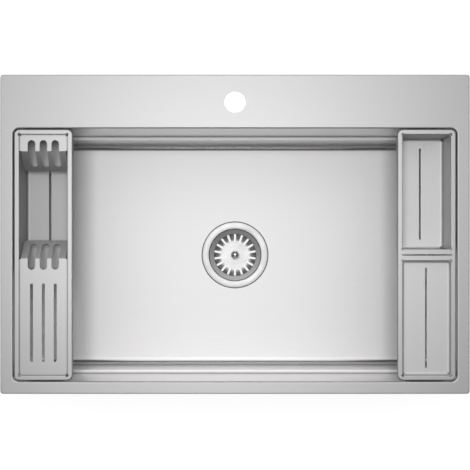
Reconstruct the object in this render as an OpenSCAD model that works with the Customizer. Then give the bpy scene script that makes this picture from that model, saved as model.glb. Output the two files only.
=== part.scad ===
// Inset single bowl kitchen sink in brushed stainless steel, with a basket
// strainer and two organiser trays that stand on a ledge inside the bowl and
// lift out. Millimetres, +Z up, +X right, +Y towards the back.
// The origin is the centre of the sink, on the surface of the worktop.

/* [Deck] */
// Width of the deck, left to right
deck_w = 750; // [700:1:900]
// Depth of the deck, front to back
deck_d = 510; // [500:1:620]
// Thickness of the deck sheet
deck_t = 1.2; // [1:0.1:1.5]
// Corner radius of the deck, seen from above
deck_corner_r = 5; // [3:0.5:15]
// Outside radius of the bend at the deck's outer edge
deck_bend_r = 2; // [1.6:0.1:2.1]
// Gap between the turned-down outer edge and the worktop
edge_gap = 0.3; // [0.1:0.1:0.3]
// Diameter of the tap hole
tap_d = 35; // [28:0.5:36]
// Distance from the deck's back edge to the centre of the tap hole
tap_from_back = 44; // [36:1:58]

/* [Bowl] */
// Width of the deck at the left and at the right of the bowl
side_rim = 20; // [19.5:0.5:60]
// Depth of the bowl's opening, front to back
bowl_d = 405; // [360:1:406]
// Width of the deck in front of the bowl
front_rim = 19.5; // [19:0.5:24]
// Height from the bowl's floor to the top of the deck
bowl_h = 200; // [180:1:230]
// Thickness of the bowl sheet
bowl_t = 1.2; // [1:0.1:1.5]
// Corner radius of the bowl's opening
bowl_corner_r = 10; // [8:0.5:12]
// Outside radius of the bend from the deck into the bowl
rim_bend_r = 2; // [1.6:0.1:3]
// Depth below the deck at which the rim is welded to the bowl wall
rim_weld_h = 6; // [4:0.5:10]
// Inside radius of the bend between the walls and the floor
floor_bend_r = 12; // [8:0.5:16]
// Depth of the ledge below the top of the deck
ledge_drop = 108; // [100:1:120]
// Width of the ledge along the front and back walls
ledge_w = 6; // [5:0.5:9]

/* [Worktop fixing] */
// Thickness of the foam seal once pressed
seal_t = 1.5; // [1.5:0.1:3]
// Width of the foam seal
seal_w = 7.5; // [5:0.5:7.5]
// Distance from the deck's edge to the worktop cut-out
cutout_margin = 10; // [10:0.5:11]
// Corner radius of the worktop cut-out
cutout_r = 10; // [4:1:15]
// Thickness of the worktop
worktop_t = 28; // [20:1:50]
// Gap between the cut-out edge and the clip rails
rail_gap = 2.5; // [2:0.1:2.8]
// Height of a clip rail below the deck
rail_h = 15; // [13:1:20]
// Thickness of the rail sheet
rail_t = 1.2; // [1:0.1:1.5]
// Gap between the rails' welded flange and the bowl wall
rail_wall_gap = 1.1; // [0.5:0.1:2]
// Length of the front and back rails
rail_long = 620; // [600:1:690]
// Length of the left and right rails
rail_short = 300; // [280:1:400]
// Distance between clips on the front and back
clip_pitch_long = 270; // [200:5:285]
// Distance between clips on the left and right
clip_pitch_short = 200; // [140:5:250]
// Width of a clip arm
clip_w = 10; // [8:0.5:14]
// Thickness of a clip arm
clip_t = 1.2; // [1:0.1:1.5]
// Diameter of the clip screws
clip_screw_d = 5; // [4:0.5:6]
// Length of the clip screws under the head
clip_screw_l = 26; // [22:1:32]

/* [Sound pads] */
// Thickness of the pads
pad_t = 2.5; // [1.5:0.5:4]
// Width of each floor pad
floor_pad_w = 210; // [120:5:240]
// Depth of each floor pad, front to back
floor_pad_d = 300; // [200:5:320]
// Length of each wall pad
wall_pad_l = 260; // [120:5:320]
// Height of each wall pad
wall_pad_h = 70; // [40:5:90]

/* [Drain] */
// Diameter of the hole through the bowl floor
drain_hole_d = 97; // [96.5:0.5:99]
// Diameter of the pressed recess round the drain hole
recess_d = 121; // [120:0.5:126]
// Thickness of the gasket under the strainer flange
gasket_t = 0.6; // [0.4:0.1:1.2]
// Diameter of the strainer flange
flange_d = 118; // [110:0.5:119]
// Thickness of the strainer flange
flange_t = 1; // [0.8:0.1:1.4]
// Diameter of the throat where it leaves the flange
throat_top_d = 95; // [94.4:0.2:95.6]
// Diameter of the throat above the basket's seat
throat_d = 93.4; // [92.8:0.2:93.8]
// Depth of the basket's seat below the bowl floor
seat_h = 6; // [5:0.5:9]
// Inside diameter of the sleeve below the seat
sleeve_id = 81; // [79:0.5:81.5]
// Diameter of the sleeve's thread for the lock nut
nut_thread_d = 86; // [85:0.5:86.5]
// Diameter of the free thread that takes the waste trap
trap_thread_d = 84; // [83.5:0.5:84.5]
// Length of the free thread that takes the waste trap
trap_thread_l = 30; // [20:1:45]
// Thickness of the rubber washer below the bowl
washer_t = 3.6; // [3:0.1:5]
// Thickness of the slip ring above the lock nut
slip_ring_t = 1; // [0.8:0.1:1.5]
// Outside diameter of the washer and the slip ring
washer_d = 116; // [110:1:120]
// Outside diameter of the lock nut
nut_d = 108; // [100:1:116]
// Height of the lock nut
nut_h = 13; // [10:1:16]
// Number of grip lugs on the lock nut
nut_lugs = 8; // [6:1:12]

/* [Basket] */
// Thickness of the basket sheet
basket_t = 0.8; // [0.6:0.1:1]
// Clearance between the basket's rim and the throat
basket_gap = 0.6; // [0.4:0.1:1]
// Inside diameter of the basket below its rim
basket_d = 77; // [76:0.5:78]
// Diameter of the basket's flat bottom
basket_flat_d = 48; // [44:0.5:52]
// Rise of the basket's sloping rim
basket_rim_h = 2.8; // [2:0.1:3.2]
// Number of drain slots round the basket
basket_slots = 18; // [12:1:20]
// Width of a basket slot
basket_slot_w = 3.7; // [2.5:0.1:4]
// Distance from the flat bottom to the start of a slot
basket_slot_in = 0.6; // [0.3:0.1:1.5]
// Distance from the basket's wall to the end of a slot
basket_slot_out = 0.6; // [0.4:0.1:1.5]
// Width of the sealing ring under the basket's rim
ring_w = 4.2; // [3:0.1:4.6]
// Thickness of the sealing ring at its outer edge
ring_h = 2.6; // [2.4:0.1:3]
// Diameter of the knob
knob_d = 14.6; // [12:0.1:18]
// Height of the knob's centre above the basket's bottom
knob_h = 17; // [15:0.5:20]
// Diameter of the knob's post
post_d = 5; // [4:0.5:6]
// Diameter of the collar at the foot of the post
post_collar_d = 10; // [8:0.5:12]
// Height of the collar at the foot of the post
post_collar_h = 2; // [1:0.5:3]
// Distance across the corners of the post's nut
post_nut_d = 9.2; // [8:0.2:11]
// Height of the post's nut
post_nut_h = 3.5; // [2.5:0.5:5]

/* [Trays] */
// Width of each tray
tray_w = 93.5; // [90:0.5:110]
// Gap between a tray and the bowl walls
tray_gap = 1.5; // [1:0.1:2]
// Depth of the trays' flanges below the top of the deck
tray_drop = 2; // [1:0.5:4]
// Thickness of the tray sheet
tray_t = 1.2; // [1:0.1:1.5]
// Corner radius of the trays
tray_corner_r = 9; // [8:0.5:11]
// Width of a tray's flange
tray_flange_w = 8.2; // [8:0.1:10]
// Outside radius of the bend at a tray's outer edge
tray_bend_r = 2; // [1.6:0.1:2.4]
// Height of a tray's turned-down outer edge
tray_lip_h = 6; // [5:0.5:9]
// Depth of the sunken panels below the flange
panel_drop = 2.5; // [2:0.1:4]
// Diameter of the relief holes at the inner corners
relief_d = 5.4; // [5.4:0.1:6.5]
// Distance from a relief hole's centre to the inner corner's faces
relief_in = 0.6; // [0.2:0.1:0.6]
// Depth of the deep wells below the flange
well_h = 58; // [45:1:70]
// Inside bend radius at the foot of the deep wells
well_bend_r = 5; // [3:0.5:6]
// Gap at the open corner seams of the wells
seam_gap = 1; // [0.5:0.1:2]
// Width of a tray's legs
leg_w = 56; // [40:1:60]
// Width of the stiffening flanges along a leg
leg_flange = 3.5; // [2.5:0.5:3.5]
// Wall thickness of the silicone feet
foot_t = 1; // [0.8:0.1:1.2]
// Thickness of a foot under its leg
foot_floor = 1.5; // [1:0.1:2.5]
// Height of a foot
foot_h = 8; // [6:0.5:12]

/* [Left tray] */
// Depth of the flat panel behind the back comb
comb_panel = 26; // [22:0.5:40]
// Distance between the bends of the two combs
comb_distance = 173.5; // [150:0.5:180]
// Length of a comb's sloping flap
flap_l = 39; // [30:0.5:42]
// Angle at which the flaps slope down
flap_a = 43; // [35:1:50]
// Inside radius of the flaps' bend
flap_bend_r = 1.5; // [1:0.1:3]
// Gap between a flap and the tray's sides
flap_gap = 2.6; // [2:0.1:4]
// Corner radius of the flaps
flap_corner_r = 6.5; // [4:0.5:8]
// Distance between the slots of a comb and between the knife slots
slot_pitch = 19; // [17:0.5:20]
// Width of a comb's slots
comb_slot_w = 12; // [8:0.5:13]
// Length of a comb's slots on the flat panel
comb_slot_flat = 17; // [12:0.5:18]
// Distance from the end of a comb's slots to the flap's edge
comb_slot_end = 8; // [6:0.5:12]
// Width of the knife slots
knife_slot_w = 4.8; // [4.4:0.1:6]
// Distance from the front comb's bend to the knife slots
knife_slot_start = 39; // [30:1:50]
// Distance from the knife slots to the front flange
knife_slot_end = 21.5; // [15:0.5:40]
// Distance that the trough runs on under the front comb
trough_under = 20; // [19:0.5:28]
// Width of the drain slot in the trough
trough_slot_w = 4; // [3:0.1:4]
// Distance from the trough's ends to its drain slot
trough_slot_end = 10; // [8:0.5:20]

/* [Right tray] */
// Width of the divider between the two wells
divider_w = 18.6; // [16:0.2:24]
// Width of the slit along the divider
slit_w = 2.4; // [1.5:0.1:3]
// Depth of the shallow well below the flange
dish_h = 8; // [8:0.5:14]
// Inside bend radius at the foot of the shallow well
dish_bend_r = 4; // [2:0.5:4]
// Width of the drain slots in the wells
well_slot_w = 3; // [2:0.1:4]
// Distance from the deep well's ends to its drain slot
well_slot_end = 16; // [8:0.5:30]
// Distance from the shallow well's ends to its drain slot
dish_slot_end = 11; // [8:0.5:30]

/* [Hidden] */

$fn = 64;
// Overshoot of every cutter past the face that it cuts
cut = 1;
// Clearance of the basket's post in its hole
post_fit = 0.1;

steel = [0.80, 0.80, 0.80];
dark_steel = [0.62, 0.62, 0.63];
chrome_grey = [0.72, 0.72, 0.74];
rubber_black = [0.13, 0.13, 0.14];
pad_grey = [0.30, 0.30, 0.31];
silicone_grey = [0.45, 0.45, 0.46];
plastic_white = [0.90, 0.90, 0.88];

// Levels of the deck and the bowl
z_deck = seal_t + deck_t;
z_under_deck = seal_t;
z_floor = z_deck - bowl_h;
z_ledge = z_deck - ledge_drop;
z_weld = z_deck - rim_weld_h;

// Width and place of the bowl in the deck
bowl_w = deck_w - 2 * side_rim;
bowl_y = -deck_d / 2 + front_rim + bowl_d / 2;
lower_d = bowl_d - 2 * ledge_w;
// The lower corners are a little rounder than the floor's bend
corner_blend = 2;
lower_corner_r = floor_bend_r + corner_blend;

// Distance from the drain's recess to the floor pads
pad_margin = 12;

// Fixings
cutout_w = deck_w - 2 * cutout_margin;
cutout_d = deck_d - 2 * cutout_margin;
clip_fit = 0.1;
// The narrowest rim sets the width of every rail's welded flange
rail_flange = min(side_rim, front_rim) - cutout_margin - rail_gap - rail_t - bowl_t
    - rail_wall_gap;
rail_slot_h = 3;
rail_slot_drop = 8;
hook_reach = 1.6;
hook_rise = 2.5;
clip_top_drop = 3;
clip_foot_drop = 14;
clip_foot_reach = 11;
screw_out = 6.5;
screw_head_d = 1.8 * clip_screw_d;
screw_head_h = 0.7 * clip_screw_d;
screw_socket_d = 0.85 * clip_screw_d;
cap_d = 9;
cap_h = 2.5;
cap_socket_h = 1.5;
clips_long = 3;
clips_short = 2;

// Levels of the drain, all below the bowl's floor
recess_h = flange_t + gasket_t;
z_recess = z_floor - recess_h;
z_bowl_under = z_recess - bowl_t;
throat_cone_h = (throat_top_d - throat_d) / 2;
// A conical wall of the flange's thickness, measured level
cone_level_t = flange_t * sqrt(2);
cup_od = throat_d + 2 * flange_t;
z_seat = z_floor - seat_h;
z_cup_under = z_seat - flange_t;
z_washer = z_bowl_under - washer_t;
z_nut_top = min(z_washer - slip_ring_t, z_cup_under);
z_nut = z_nut_top - nut_h;
nut_run_out = 4;
z_trap_thread = z_nut - nut_run_out;
z_sleeve_end = z_trap_thread - trap_thread_l;
washer_gap = 0.3;
lug_w = 12;
lug_h = 9;
lug_out = 3;

// Levels of the basket
basket_rim_d = throat_d - 2 * basket_gap;
basket_rim_w = (basket_rim_d - basket_d) / 2;
rim_slope = basket_rim_h / basket_rim_w;
// Thickness of the sloping rim, measured upright
rim_upright_t = basket_t * sqrt(1 + rim_slope * rim_slope);
ring_od = basket_rim_d - 1;
// Height of the rim's top surface above the seat, at the basket's wall
z_rim = z_seat + ring_h + rim_upright_t - rim_slope * (ring_od - basket_d) / 2;
basket_wall_r = (basket_d - basket_flat_d) / 2;
z_bend = z_rim - rim_upright_t;
z_basket = z_bend - basket_wall_r;
z_knob = z_basket + knob_h;
post_depth = 5;

// Trays
tray_l = bowl_d - 2 * tray_gap;
tray_x = bowl_w / 2 - tray_gap - tray_w / 2;
z_tray = z_deck - tray_drop;
inner_x = tray_w / 2 - tray_flange_w;
inner_y = tray_l / 2 - tray_flange_w;
collar_h = panel_drop + tray_t;
back_bend_y = inner_y - comb_panel;
front_bend_y = back_bend_y - comb_distance;
trough_front_y = front_bend_y - trough_under;
flap_w = 2 * (inner_x - flap_gap);
slot_columns = [-1, 0, 1];
corner_start = 0.05;
// Straight steps in an arc that is drawn with points
arc_steps = 8;
leg_y = tray_l / 2 - tray_t;
leg_bottom = z_ledge - z_tray + foot_floor;
leg_flange_top = collar_h + 4;
leg_flange_end = foot_h + 4;

// Rectangle with round corners, centred
module rounded_rect(w, d, r) {
    square([w - 2 * r, d], center = true);
    square([w, d - 2 * r], center = true);
    for (sx = [-1, 1], sy = [-1, 1])
        translate([sx * (w / 2 - r), sy * (d / 2 - r)]) circle(r);
}

// Slot with round ends from y0 to y1
module slot_shape(w, y0, y1) {
    translate([-w / 2, y0 + w / 2]) square([w, y1 - y0 - w]);
    translate([0, y0 + w / 2]) circle(w / 2);
    translate([0, y1 - w / 2]) circle(w / 2);
}

// Sweeps an outline round a rectangle with round corners. The outline's x is
// measured outwards from the rectangle and its y is the height.
module sweep_ring(w, d, r) {
    for (k = [0:3]) {
        across = k % 2 == 0 ? w : d;
        along = k % 2 == 0 ? d : w;
        rotate([0, 0, 90 * k]) {
            translate([across / 2, 0, 0]) rotate([90, 0, 0])
                linear_extrude(height = along - 2 * r, center = true) children();
            translate([across / 2 - r, along / 2 - r, 0])
                rotate_extrude(angle = 90) translate([r, 0]) children();
        }
    }
}

// Outline of a sheet that bends from level to straight down. The top face is
// at y = 0 and the outer face at x = 0.
module turned_edge(r, t, h) {
    intersection() {
        translate([-r, -r]) difference() {
            circle(r);
            circle(r - t);
        }
        translate([-r, -r]) square(r);
    }
    translate([-t, -h]) square([t, h - r]);
}

// Outline of a sheet that bends from upright to level. The level face is at
// y = 0 and the upright inner face at x = 0.
module foot_bend(r, t) {
    intersection() {
        translate([-r, r]) difference() {
            circle(r + t);
            circle(r);
        }
        translate([-r, -t]) square(r + t);
    }
}

module deck_plate() {
    color(steel) difference() {
        union() {
            translate([0, 0, z_under_deck]) linear_extrude(deck_t) difference() {
                rounded_rect(deck_w - 2 * deck_bend_r, deck_d - 2 * deck_bend_r,
                    deck_corner_r - deck_bend_r);
                translate([0, bowl_y])
                    rounded_rect(bowl_w + 2 * rim_bend_r, bowl_d + 2 * rim_bend_r,
                        bowl_corner_r + rim_bend_r);
            }
            translate([0, 0, z_deck]) sweep_ring(deck_w, deck_d, deck_corner_r)
                turned_edge(deck_bend_r, deck_t, z_deck - edge_gap);
            translate([0, bowl_y, z_deck]) sweep_ring(bowl_w, bowl_d, bowl_corner_r)
                mirror([1, 0]) turned_edge(rim_bend_r, deck_t, rim_weld_h);
        }
        translate([0, deck_d / 2 - tap_from_back, z_under_deck - cut])
            cylinder(h = deck_t + 2 * cut, d = tap_d);
    }
}

// Upright band of sheet between two levels, with its inner face on a rectangle
// with round corners
module wall_band(w, d, r, z0, z1) {
    translate([0, 0, z0]) linear_extrude(z1 - z0) difference() {
        rounded_rect(w + 2 * bowl_t, d + 2 * bowl_t, r + bowl_t);
        rounded_rect(w, d, r);
    }
}

module bowl_walls() {
    wall_band(bowl_w, bowl_d, bowl_corner_r, z_ledge, z_weld);
    translate([0, 0, z_ledge - bowl_t]) linear_extrude(bowl_t) difference() {
        rounded_rect(bowl_w + 2 * bowl_t, bowl_d + 2 * bowl_t, bowl_corner_r + bowl_t);
        rounded_rect(bowl_w, lower_d, lower_corner_r);
    }
    wall_band(bowl_w, lower_d, lower_corner_r, z_floor + floor_bend_r, z_ledge - bowl_t);
    sweep_ring(bowl_w, lower_d, lower_corner_r)
        translate([0, z_floor]) foot_bend(floor_bend_r, bowl_t);
}

module bowl_floor() {
    translate([0, 0, z_floor - bowl_t]) linear_extrude(bowl_t)
        rounded_rect(bowl_w - 2 * floor_bend_r, lower_d - 2 * floor_bend_r, corner_blend);
    translate([0, 0, z_bowl_under])
        cylinder(h = z_floor - z_bowl_under, d = recess_d + 2 * bowl_t);
}

module bowl_shell() {
    color(steel) translate([0, bowl_y, 0]) difference() {
        union() {
            bowl_walls();
            bowl_floor();
        }
        translate([0, 0, z_recess]) cylinder(h = recess_h + cut, d = recess_d);
        translate([0, 0, z_bowl_under - cut])
            cylinder(h = recess_h + bowl_t + 2 * cut, d = drain_hole_d);
    }
}

module rim_seal() {
    seal_out_w = deck_w - 2 * deck_bend_r;
    seal_out_d = deck_d - 2 * deck_bend_r;
    color(rubber_black) linear_extrude(seal_t) difference() {
        rounded_rect(seal_out_w, seal_out_d, deck_corner_r - deck_bend_r);
        rounded_rect(seal_out_w - 2 * seal_w, seal_out_d - 2 * seal_w, cutout_r);
    }
}

module floor_pads() {
    pad_x = recess_d / 2 + bowl_t + pad_margin + floor_pad_w / 2;
    color(pad_grey) for (side = [-1, 1])
        translate([side * pad_x, bowl_y, z_floor - bowl_t - pad_t]) linear_extrude(pad_t)
            rounded_rect(floor_pad_w, floor_pad_d, floor_bend_r);
}

module wall_pads() {
    pad_z = (z_deck + z_floor) / 2;
    color(pad_grey) for (side = [0, 1])
        translate([0, bowl_y, 0]) rotate([0, 0, 180 * side])
            translate([bowl_w / 2 + bowl_t, 0, pad_z]) rotate([90, 0, 90]) linear_extrude(pad_t)
                rounded_rect(wall_pad_l, wall_pad_h, floor_bend_r);
}

// A clip rail along Y. Its outer face is at x = 0, and the deck's underside
// at z = 0.
module clip_rail(length, count, pitch) {
    difference() {
        union() {
            translate([-rail_t, -length / 2, -rail_h]) cube([rail_t, length, rail_h]);
            translate([-rail_t - rail_flange, -length / 2, -rail_t])
                cube([rail_flange, length, rail_t]);
        }
        for (i = [0:count - 1])
            translate([-rail_t - cut, (i - (count - 1) / 2) * pitch - clip_w / 2 - clip_fit,
                -rail_slot_drop - rail_slot_h])
                cube([rail_t + 2 * cut, clip_w + 2 * clip_fit, rail_slot_h]);
    }
}

// Puts a piece drawn for one side of the cut-out on side k, counted
// anticlockwise from the right
module at_side(k) {
    half = (k % 2 == 0 ? cutout_w : cutout_d) / 2;
    rotate([0, 0, 90 * k]) translate([half - rail_gap, 0, z_under_deck]) children();
}

module long_rail(k) {
    color(dark_steel) at_side(k) clip_rail(rail_long, clips_long, clip_pitch_long);
}

module short_rail(k) {
    color(dark_steel) at_side(k) clip_rail(rail_short, clips_short, clip_pitch_short);
}

module clip_rail_right() { short_rail(0); }
module clip_rail_back() { long_rail(1); }
module clip_rail_left() { short_rail(2); }
module clip_rail_front() { long_rail(3); }

// Puts a copy of a piece at every clip, with x outwards from the rail's face
module at_clips() {
    for (k = [0:3]) {
        count = k % 2 == 0 ? clips_short : clips_long;
        pitch = k % 2 == 0 ? clip_pitch_short : clip_pitch_long;
        at_side(k) for (i = [0:count - 1])
            translate([0, (i - (count - 1) / 2) * pitch, 0]) children();
    }
}

// Levels of a clip, measured from the deck's underside
clip_foot_z = -z_under_deck - worktop_t - clip_foot_drop;
clip_cap_z = -z_under_deck - worktop_t - cap_h;
clip_tip_z = clip_cap_z + cap_socket_h;
arm_x = -rail_t - clip_fit - clip_t;
hook_z = -rail_slot_drop - rail_slot_h;

module clip_arm() {
    difference() {
        union() {
            translate([arm_x, -clip_w / 2, clip_foot_z])
                cube([clip_t, clip_w, -clip_top_drop - clip_foot_z]);
            translate([arm_x, -clip_w / 2, clip_foot_z])
                cube([clip_foot_reach - arm_x, clip_w, clip_t]);
            translate([arm_x, -clip_w / 2, hook_z])
                cube([hook_reach - arm_x, clip_w, clip_t]);
            translate([hook_reach - clip_t, -clip_w / 2, hook_z])
                cube([clip_t, clip_w, clip_t + hook_rise]);
        }
        translate([screw_out, 0, clip_foot_z - cut])
            cylinder(h = clip_t + 2 * cut, d = clip_screw_d);
    }
}

module clip_arms() { color(dark_steel) at_clips() clip_arm(); }

module clip_screw() {
    translate([screw_out, 0, clip_tip_z - clip_screw_l]) {
        cylinder(h = clip_screw_l, d = clip_screw_d);
        translate([0, 0, -screw_head_h]) difference() {
            cylinder(h = screw_head_h, d = screw_head_d);
            translate([0, 0, -cut])
                cylinder(h = cut + screw_head_h / 2, d = screw_socket_d, $fn = 6);
        }
    }
}

module clip_screws() { color(dark_steel) at_clips() clip_screw(); }

module clip_cap() {
    translate([screw_out, 0, clip_cap_z]) difference() {
        cylinder(h = cap_h, d = cap_d);
        translate([0, 0, -cut])
            cylinder(h = cap_socket_h + cut, d = clip_screw_d);
    }
}

module clip_caps() { color(rubber_black) at_clips() clip_cap(); }

module strainer_body() {
    top_r = throat_top_d / 2;
    cone_under_r = top_r - flange_t + cone_level_t;
    color(steel) translate([0, bowl_y, 0]) rotate_extrude() polygon([
        [top_r, z_floor], [flange_d / 2, z_floor],
        [flange_d / 2, z_floor - flange_t], [cone_under_r, z_floor - flange_t],
        [cup_od / 2, z_floor - throat_cone_h - cone_level_t + flange_t],
        [cup_od / 2, z_cup_under], [nut_thread_d / 2, z_cup_under],
        [nut_thread_d / 2, z_trap_thread], [trap_thread_d / 2, z_trap_thread],
        [trap_thread_d / 2, z_sleeve_end], [sleeve_id / 2, z_sleeve_end],
        [sleeve_id / 2, z_seat], [throat_d / 2, z_seat],
        [throat_d / 2, z_floor - throat_cone_h]
    ]);
}

// Flat ring round the drain's axis
module drain_ring(z, h, od, id) {
    translate([0, bowl_y, z]) difference() {
        cylinder(h = h, d = od);
        translate([0, 0, -cut]) cylinder(h = h + 2 * cut, d = id);
    }
}

module flange_gasket() {
    color(rubber_black) drain_ring(z_recess, gasket_t, flange_d - 2, drain_hole_d + 1);
}

module rubber_washer() {
    color(rubber_black) drain_ring(z_washer, washer_t, washer_d, cup_od + 2 * washer_gap);
}

module slip_ring() {
    color(plastic_white)
        drain_ring(z_washer - slip_ring_t, slip_ring_t, washer_d, cup_od + 2 * washer_gap);
}

module lock_nut() {
    color(plastic_white) difference() {
        union() {
            drain_ring(z_nut, nut_h, nut_d, nut_thread_d);
            translate([0, bowl_y, z_nut]) for (i = [0:nut_lugs - 1])
                rotate([0, 0, 360 / nut_lugs * i])
                    translate([nut_d / 2 - lug_out, -lug_w / 2, 0])
                        cube([2 * lug_out, lug_w, lug_h]);
        }
    }
}

// Outline of the basket: its sloping rim, a short straight wall, the bend and
// the flat bottom
module basket_shape() {
    wall_r = basket_d / 2;
    flat_r = basket_flat_d / 2;
    rim_r = basket_rim_d / 2;
    bend_out = basket_wall_r + basket_t;
    polygon([
        [wall_r, z_bend], [rim_r, z_bend + basket_rim_h],
        [rim_r, z_rim + basket_rim_h], [wall_r, z_rim]
    ]);
    translate([wall_r, z_bend]) square([basket_t, z_rim - z_bend]);
    intersection() {
        translate([flat_r, z_bend]) difference() {
            circle(bend_out);
            circle(basket_wall_r);
        }
        translate([flat_r, z_bend - bend_out]) square(bend_out);
    }
    translate([0, z_basket - basket_t]) square([flat_r, basket_t]);
}

module basket() {
    slot_in = basket_flat_d / 2 + basket_slot_in;
    slot_out = basket_d / 2 - basket_slot_out;
    color(steel) translate([0, bowl_y, 0]) difference() {
        rotate_extrude() basket_shape();
        translate([0, 0, z_basket - basket_t - cut])
            linear_extrude(basket_wall_r + basket_t) for (i = [0:basket_slots - 1])
                rotate([0, 0, 360 / basket_slots * i]) slot_shape(basket_slot_w, slot_in, slot_out);
        translate([0, 0, z_basket - basket_t - cut])
            cylinder(h = basket_t + 2 * cut, d = post_d + 2 * post_fit);
    }
}

module basket_ring() {
    out_r = ring_od / 2;
    in_r = out_r - ring_w;
    color(rubber_black) translate([0, bowl_y, 0]) rotate_extrude() polygon([
        [in_r, z_seat], [out_r, z_seat], [out_r, z_seat + ring_h],
        [in_r, z_seat + ring_h - rim_slope * ring_w]
    ]);
}

module basket_post() {
    nut_seat = z_basket - basket_t;
    color(chrome_grey) translate([0, bowl_y, 0]) {
        translate([0, 0, nut_seat - post_nut_h])
            cylinder(h = z_knob - knob_d / 2 + post_depth - nut_seat + post_nut_h, d = post_d);
        translate([0, 0, z_basket])
            cylinder(h = post_collar_h, d1 = post_collar_d, d2 = post_d + 2);
    }
}

module basket_knob() {
    color(chrome_grey) translate([0, bowl_y, z_knob]) difference() {
        sphere(d = knob_d);
        translate([0, 0, -knob_d / 2 - cut])
            cylinder(h = post_depth + cut, d = post_d);
    }
}

module post_nut() {
    color(chrome_grey) translate([0, bowl_y, z_basket - basket_t - post_nut_h]) difference() {
        cylinder(h = post_nut_h, d = post_nut_d, $fn = 6);
        translate([0, 0, -cut])
            cylinder(h = post_nut_h + 2 * cut, d = post_d);
    }
}

// Puts a tray drawn round its own centre, with its flange's top at z = 0, in
// the left (-1) or right (1) end of the bowl
module at_tray(side) {
    translate([side * tray_x, bowl_y, z_tray]) children();
}

// Outline of an opening's rolled edge, with its inner face at x = 0
module collar_edge() {
    intersection() {
        translate([tray_t, -tray_t]) circle(tray_t);
        translate([0, -tray_t]) square(tray_t);
    }
    translate([0, -collar_h]) square([tray_t, collar_h - tray_t]);
}

// Turned-down edges of an opening from y0 to y1, stopping short of the corners
module collar(y0, y1) {
    for (side = [0, 1]) {
        translate([0, (y0 + y1) / 2, 0]) rotate([0, 0, 180 * side]) {
            translate([inner_x, 0, 0]) rotate([90, 0, 0])
                linear_extrude(height = y1 - y0, center = true) collar_edge();
            rotate([0, 0, 90]) translate([(y1 - y0) / 2, 0, 0]) rotate([90, 0, 0])
                linear_extrude(height = 2 * inner_x, center = true) collar_edge();
        }
    }
}

// Flange of a tray, with an opening for each pair of y0 and y1
module tray_flange(spans) {
    translate([0, 0, -tray_t]) linear_extrude(tray_t) difference() {
        rounded_rect(tray_w - 2 * tray_bend_r, tray_l - 2 * tray_bend_r,
            tray_corner_r - tray_bend_r);
        for (s = spans)
            translate([-inner_x - tray_t, s[0] - tray_t])
                square([2 * (inner_x + tray_t), s[1] - s[0] + 2 * tray_t]);
    }
    sweep_ring(tray_w, tray_l, tray_corner_r)
        turned_edge(tray_bend_r, tray_t, tray_lip_h);
    for (s = spans) collar(s[0], s[1]);
}

module relief_holes(spans) {
    for (s = spans, sx = [-1, 1], end = [0, 1])
        translate([sx * (inner_x - relief_in), s[end] + (1 - 2 * end) * relief_in,
            -collar_h - cut])
            cylinder(h = collar_h + 2 * cut, d = relief_d);
}

// The flat part of a comb's slots, run on past the bend at y = 0
module panel_slots() {
    run_on = 2 * (flap_bend_r + tray_t);
    for (i = slot_columns) translate([i * slot_pitch, comb_slot_flat - comb_slot_w / 2]) {
        translate([-comb_slot_w / 2, -comb_slot_flat - run_on / 2 + comb_slot_w / 2])
            square([comb_slot_w, comb_slot_flat + run_on / 2 - comb_slot_w / 2]);
        circle(comb_slot_w / 2);
    }
}

// The part of a comb's slots on its flap, in the flap's own plane
module flap_slots() {
    past_bend = flap_bend_r / 3;
    run = flap_l - comb_slot_end - comb_slot_w / 2;
    for (i = slot_columns) translate([i * slot_pitch, -run]) {
        translate([-comb_slot_w / 2, 0]) square([comb_slot_w, run - past_bend]);
        circle(comb_slot_w / 2);
    }
}

// Points of an arc round a centre, from angle a0 to a1
function arc_points(centre, r, a0, a1) =
    [for (i = [0:arc_steps]) let (a = a0 + (a1 - a0) * i / arc_steps)
        centre + r * [cos(a), sin(a)]];

// Section of a comb's flap and its bend. The bend starts at x = 0 and the
// panel's top is at y = 0.
module flap_section() {
    centre = [0, -tray_t - flap_bend_r];
    along = flap_l * [cos(flap_a), -sin(flap_a)];
    inner = arc_points(centre, flap_bend_r, 90, 90 - flap_a);
    outer = arc_points(centre, flap_bend_r + tray_t, 90 - flap_a, 90);
    polygon(concat([[-cut, -tray_t]], inner, [inner[arc_steps] + along],
        [outer[0] + along], outer, [[-cut, 0]]));
}

// Cutter for the free corner at the right of a level flap. Its round starts
// just outside the flap, so that it meets no edge at a tangent.
module flap_corner() {
    translate([flap_w / 2 - flap_corner_r + corner_start,
        -flap_l + flap_corner_r - corner_start]) difference() {
            translate([0, -flap_corner_r - cut]) square(flap_corner_r + cut);
            circle(flap_corner_r);
        }
}

// Sunken panel of the given depth, with a slotted flap sloping down from its
// edge at y = 0 towards -y. The panel's top is at z = 0.
module comb(panel_l) {
    bend_h = flap_bend_r + tray_t;
    difference() {
        union() {
            translate([-inner_x, 0, -tray_t]) cube([2 * inner_x, panel_l, tray_t]);
            rotate([90, 0, -90]) linear_extrude(height = flap_w, center = true) flap_section();
        }
        translate([0, 0, -2 * bend_h]) linear_extrude(2 * bend_h + cut) panel_slots();
        translate([0, 0, -bend_h]) rotate([flap_a, 0, 0])
            translate([0, 0, flap_bend_r - cut]) linear_extrude(tray_t + 2 * cut) {
                flap_slots();
                flap_corner();
                mirror([1, 0]) flap_corner();
            }
    }
}

module knife_slots() {
    for (i = slot_columns) translate([i * slot_pitch, 0])
        slot_shape(knife_slot_w, -inner_y + knife_slot_end, front_bend_y - knife_slot_start);
}

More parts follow.
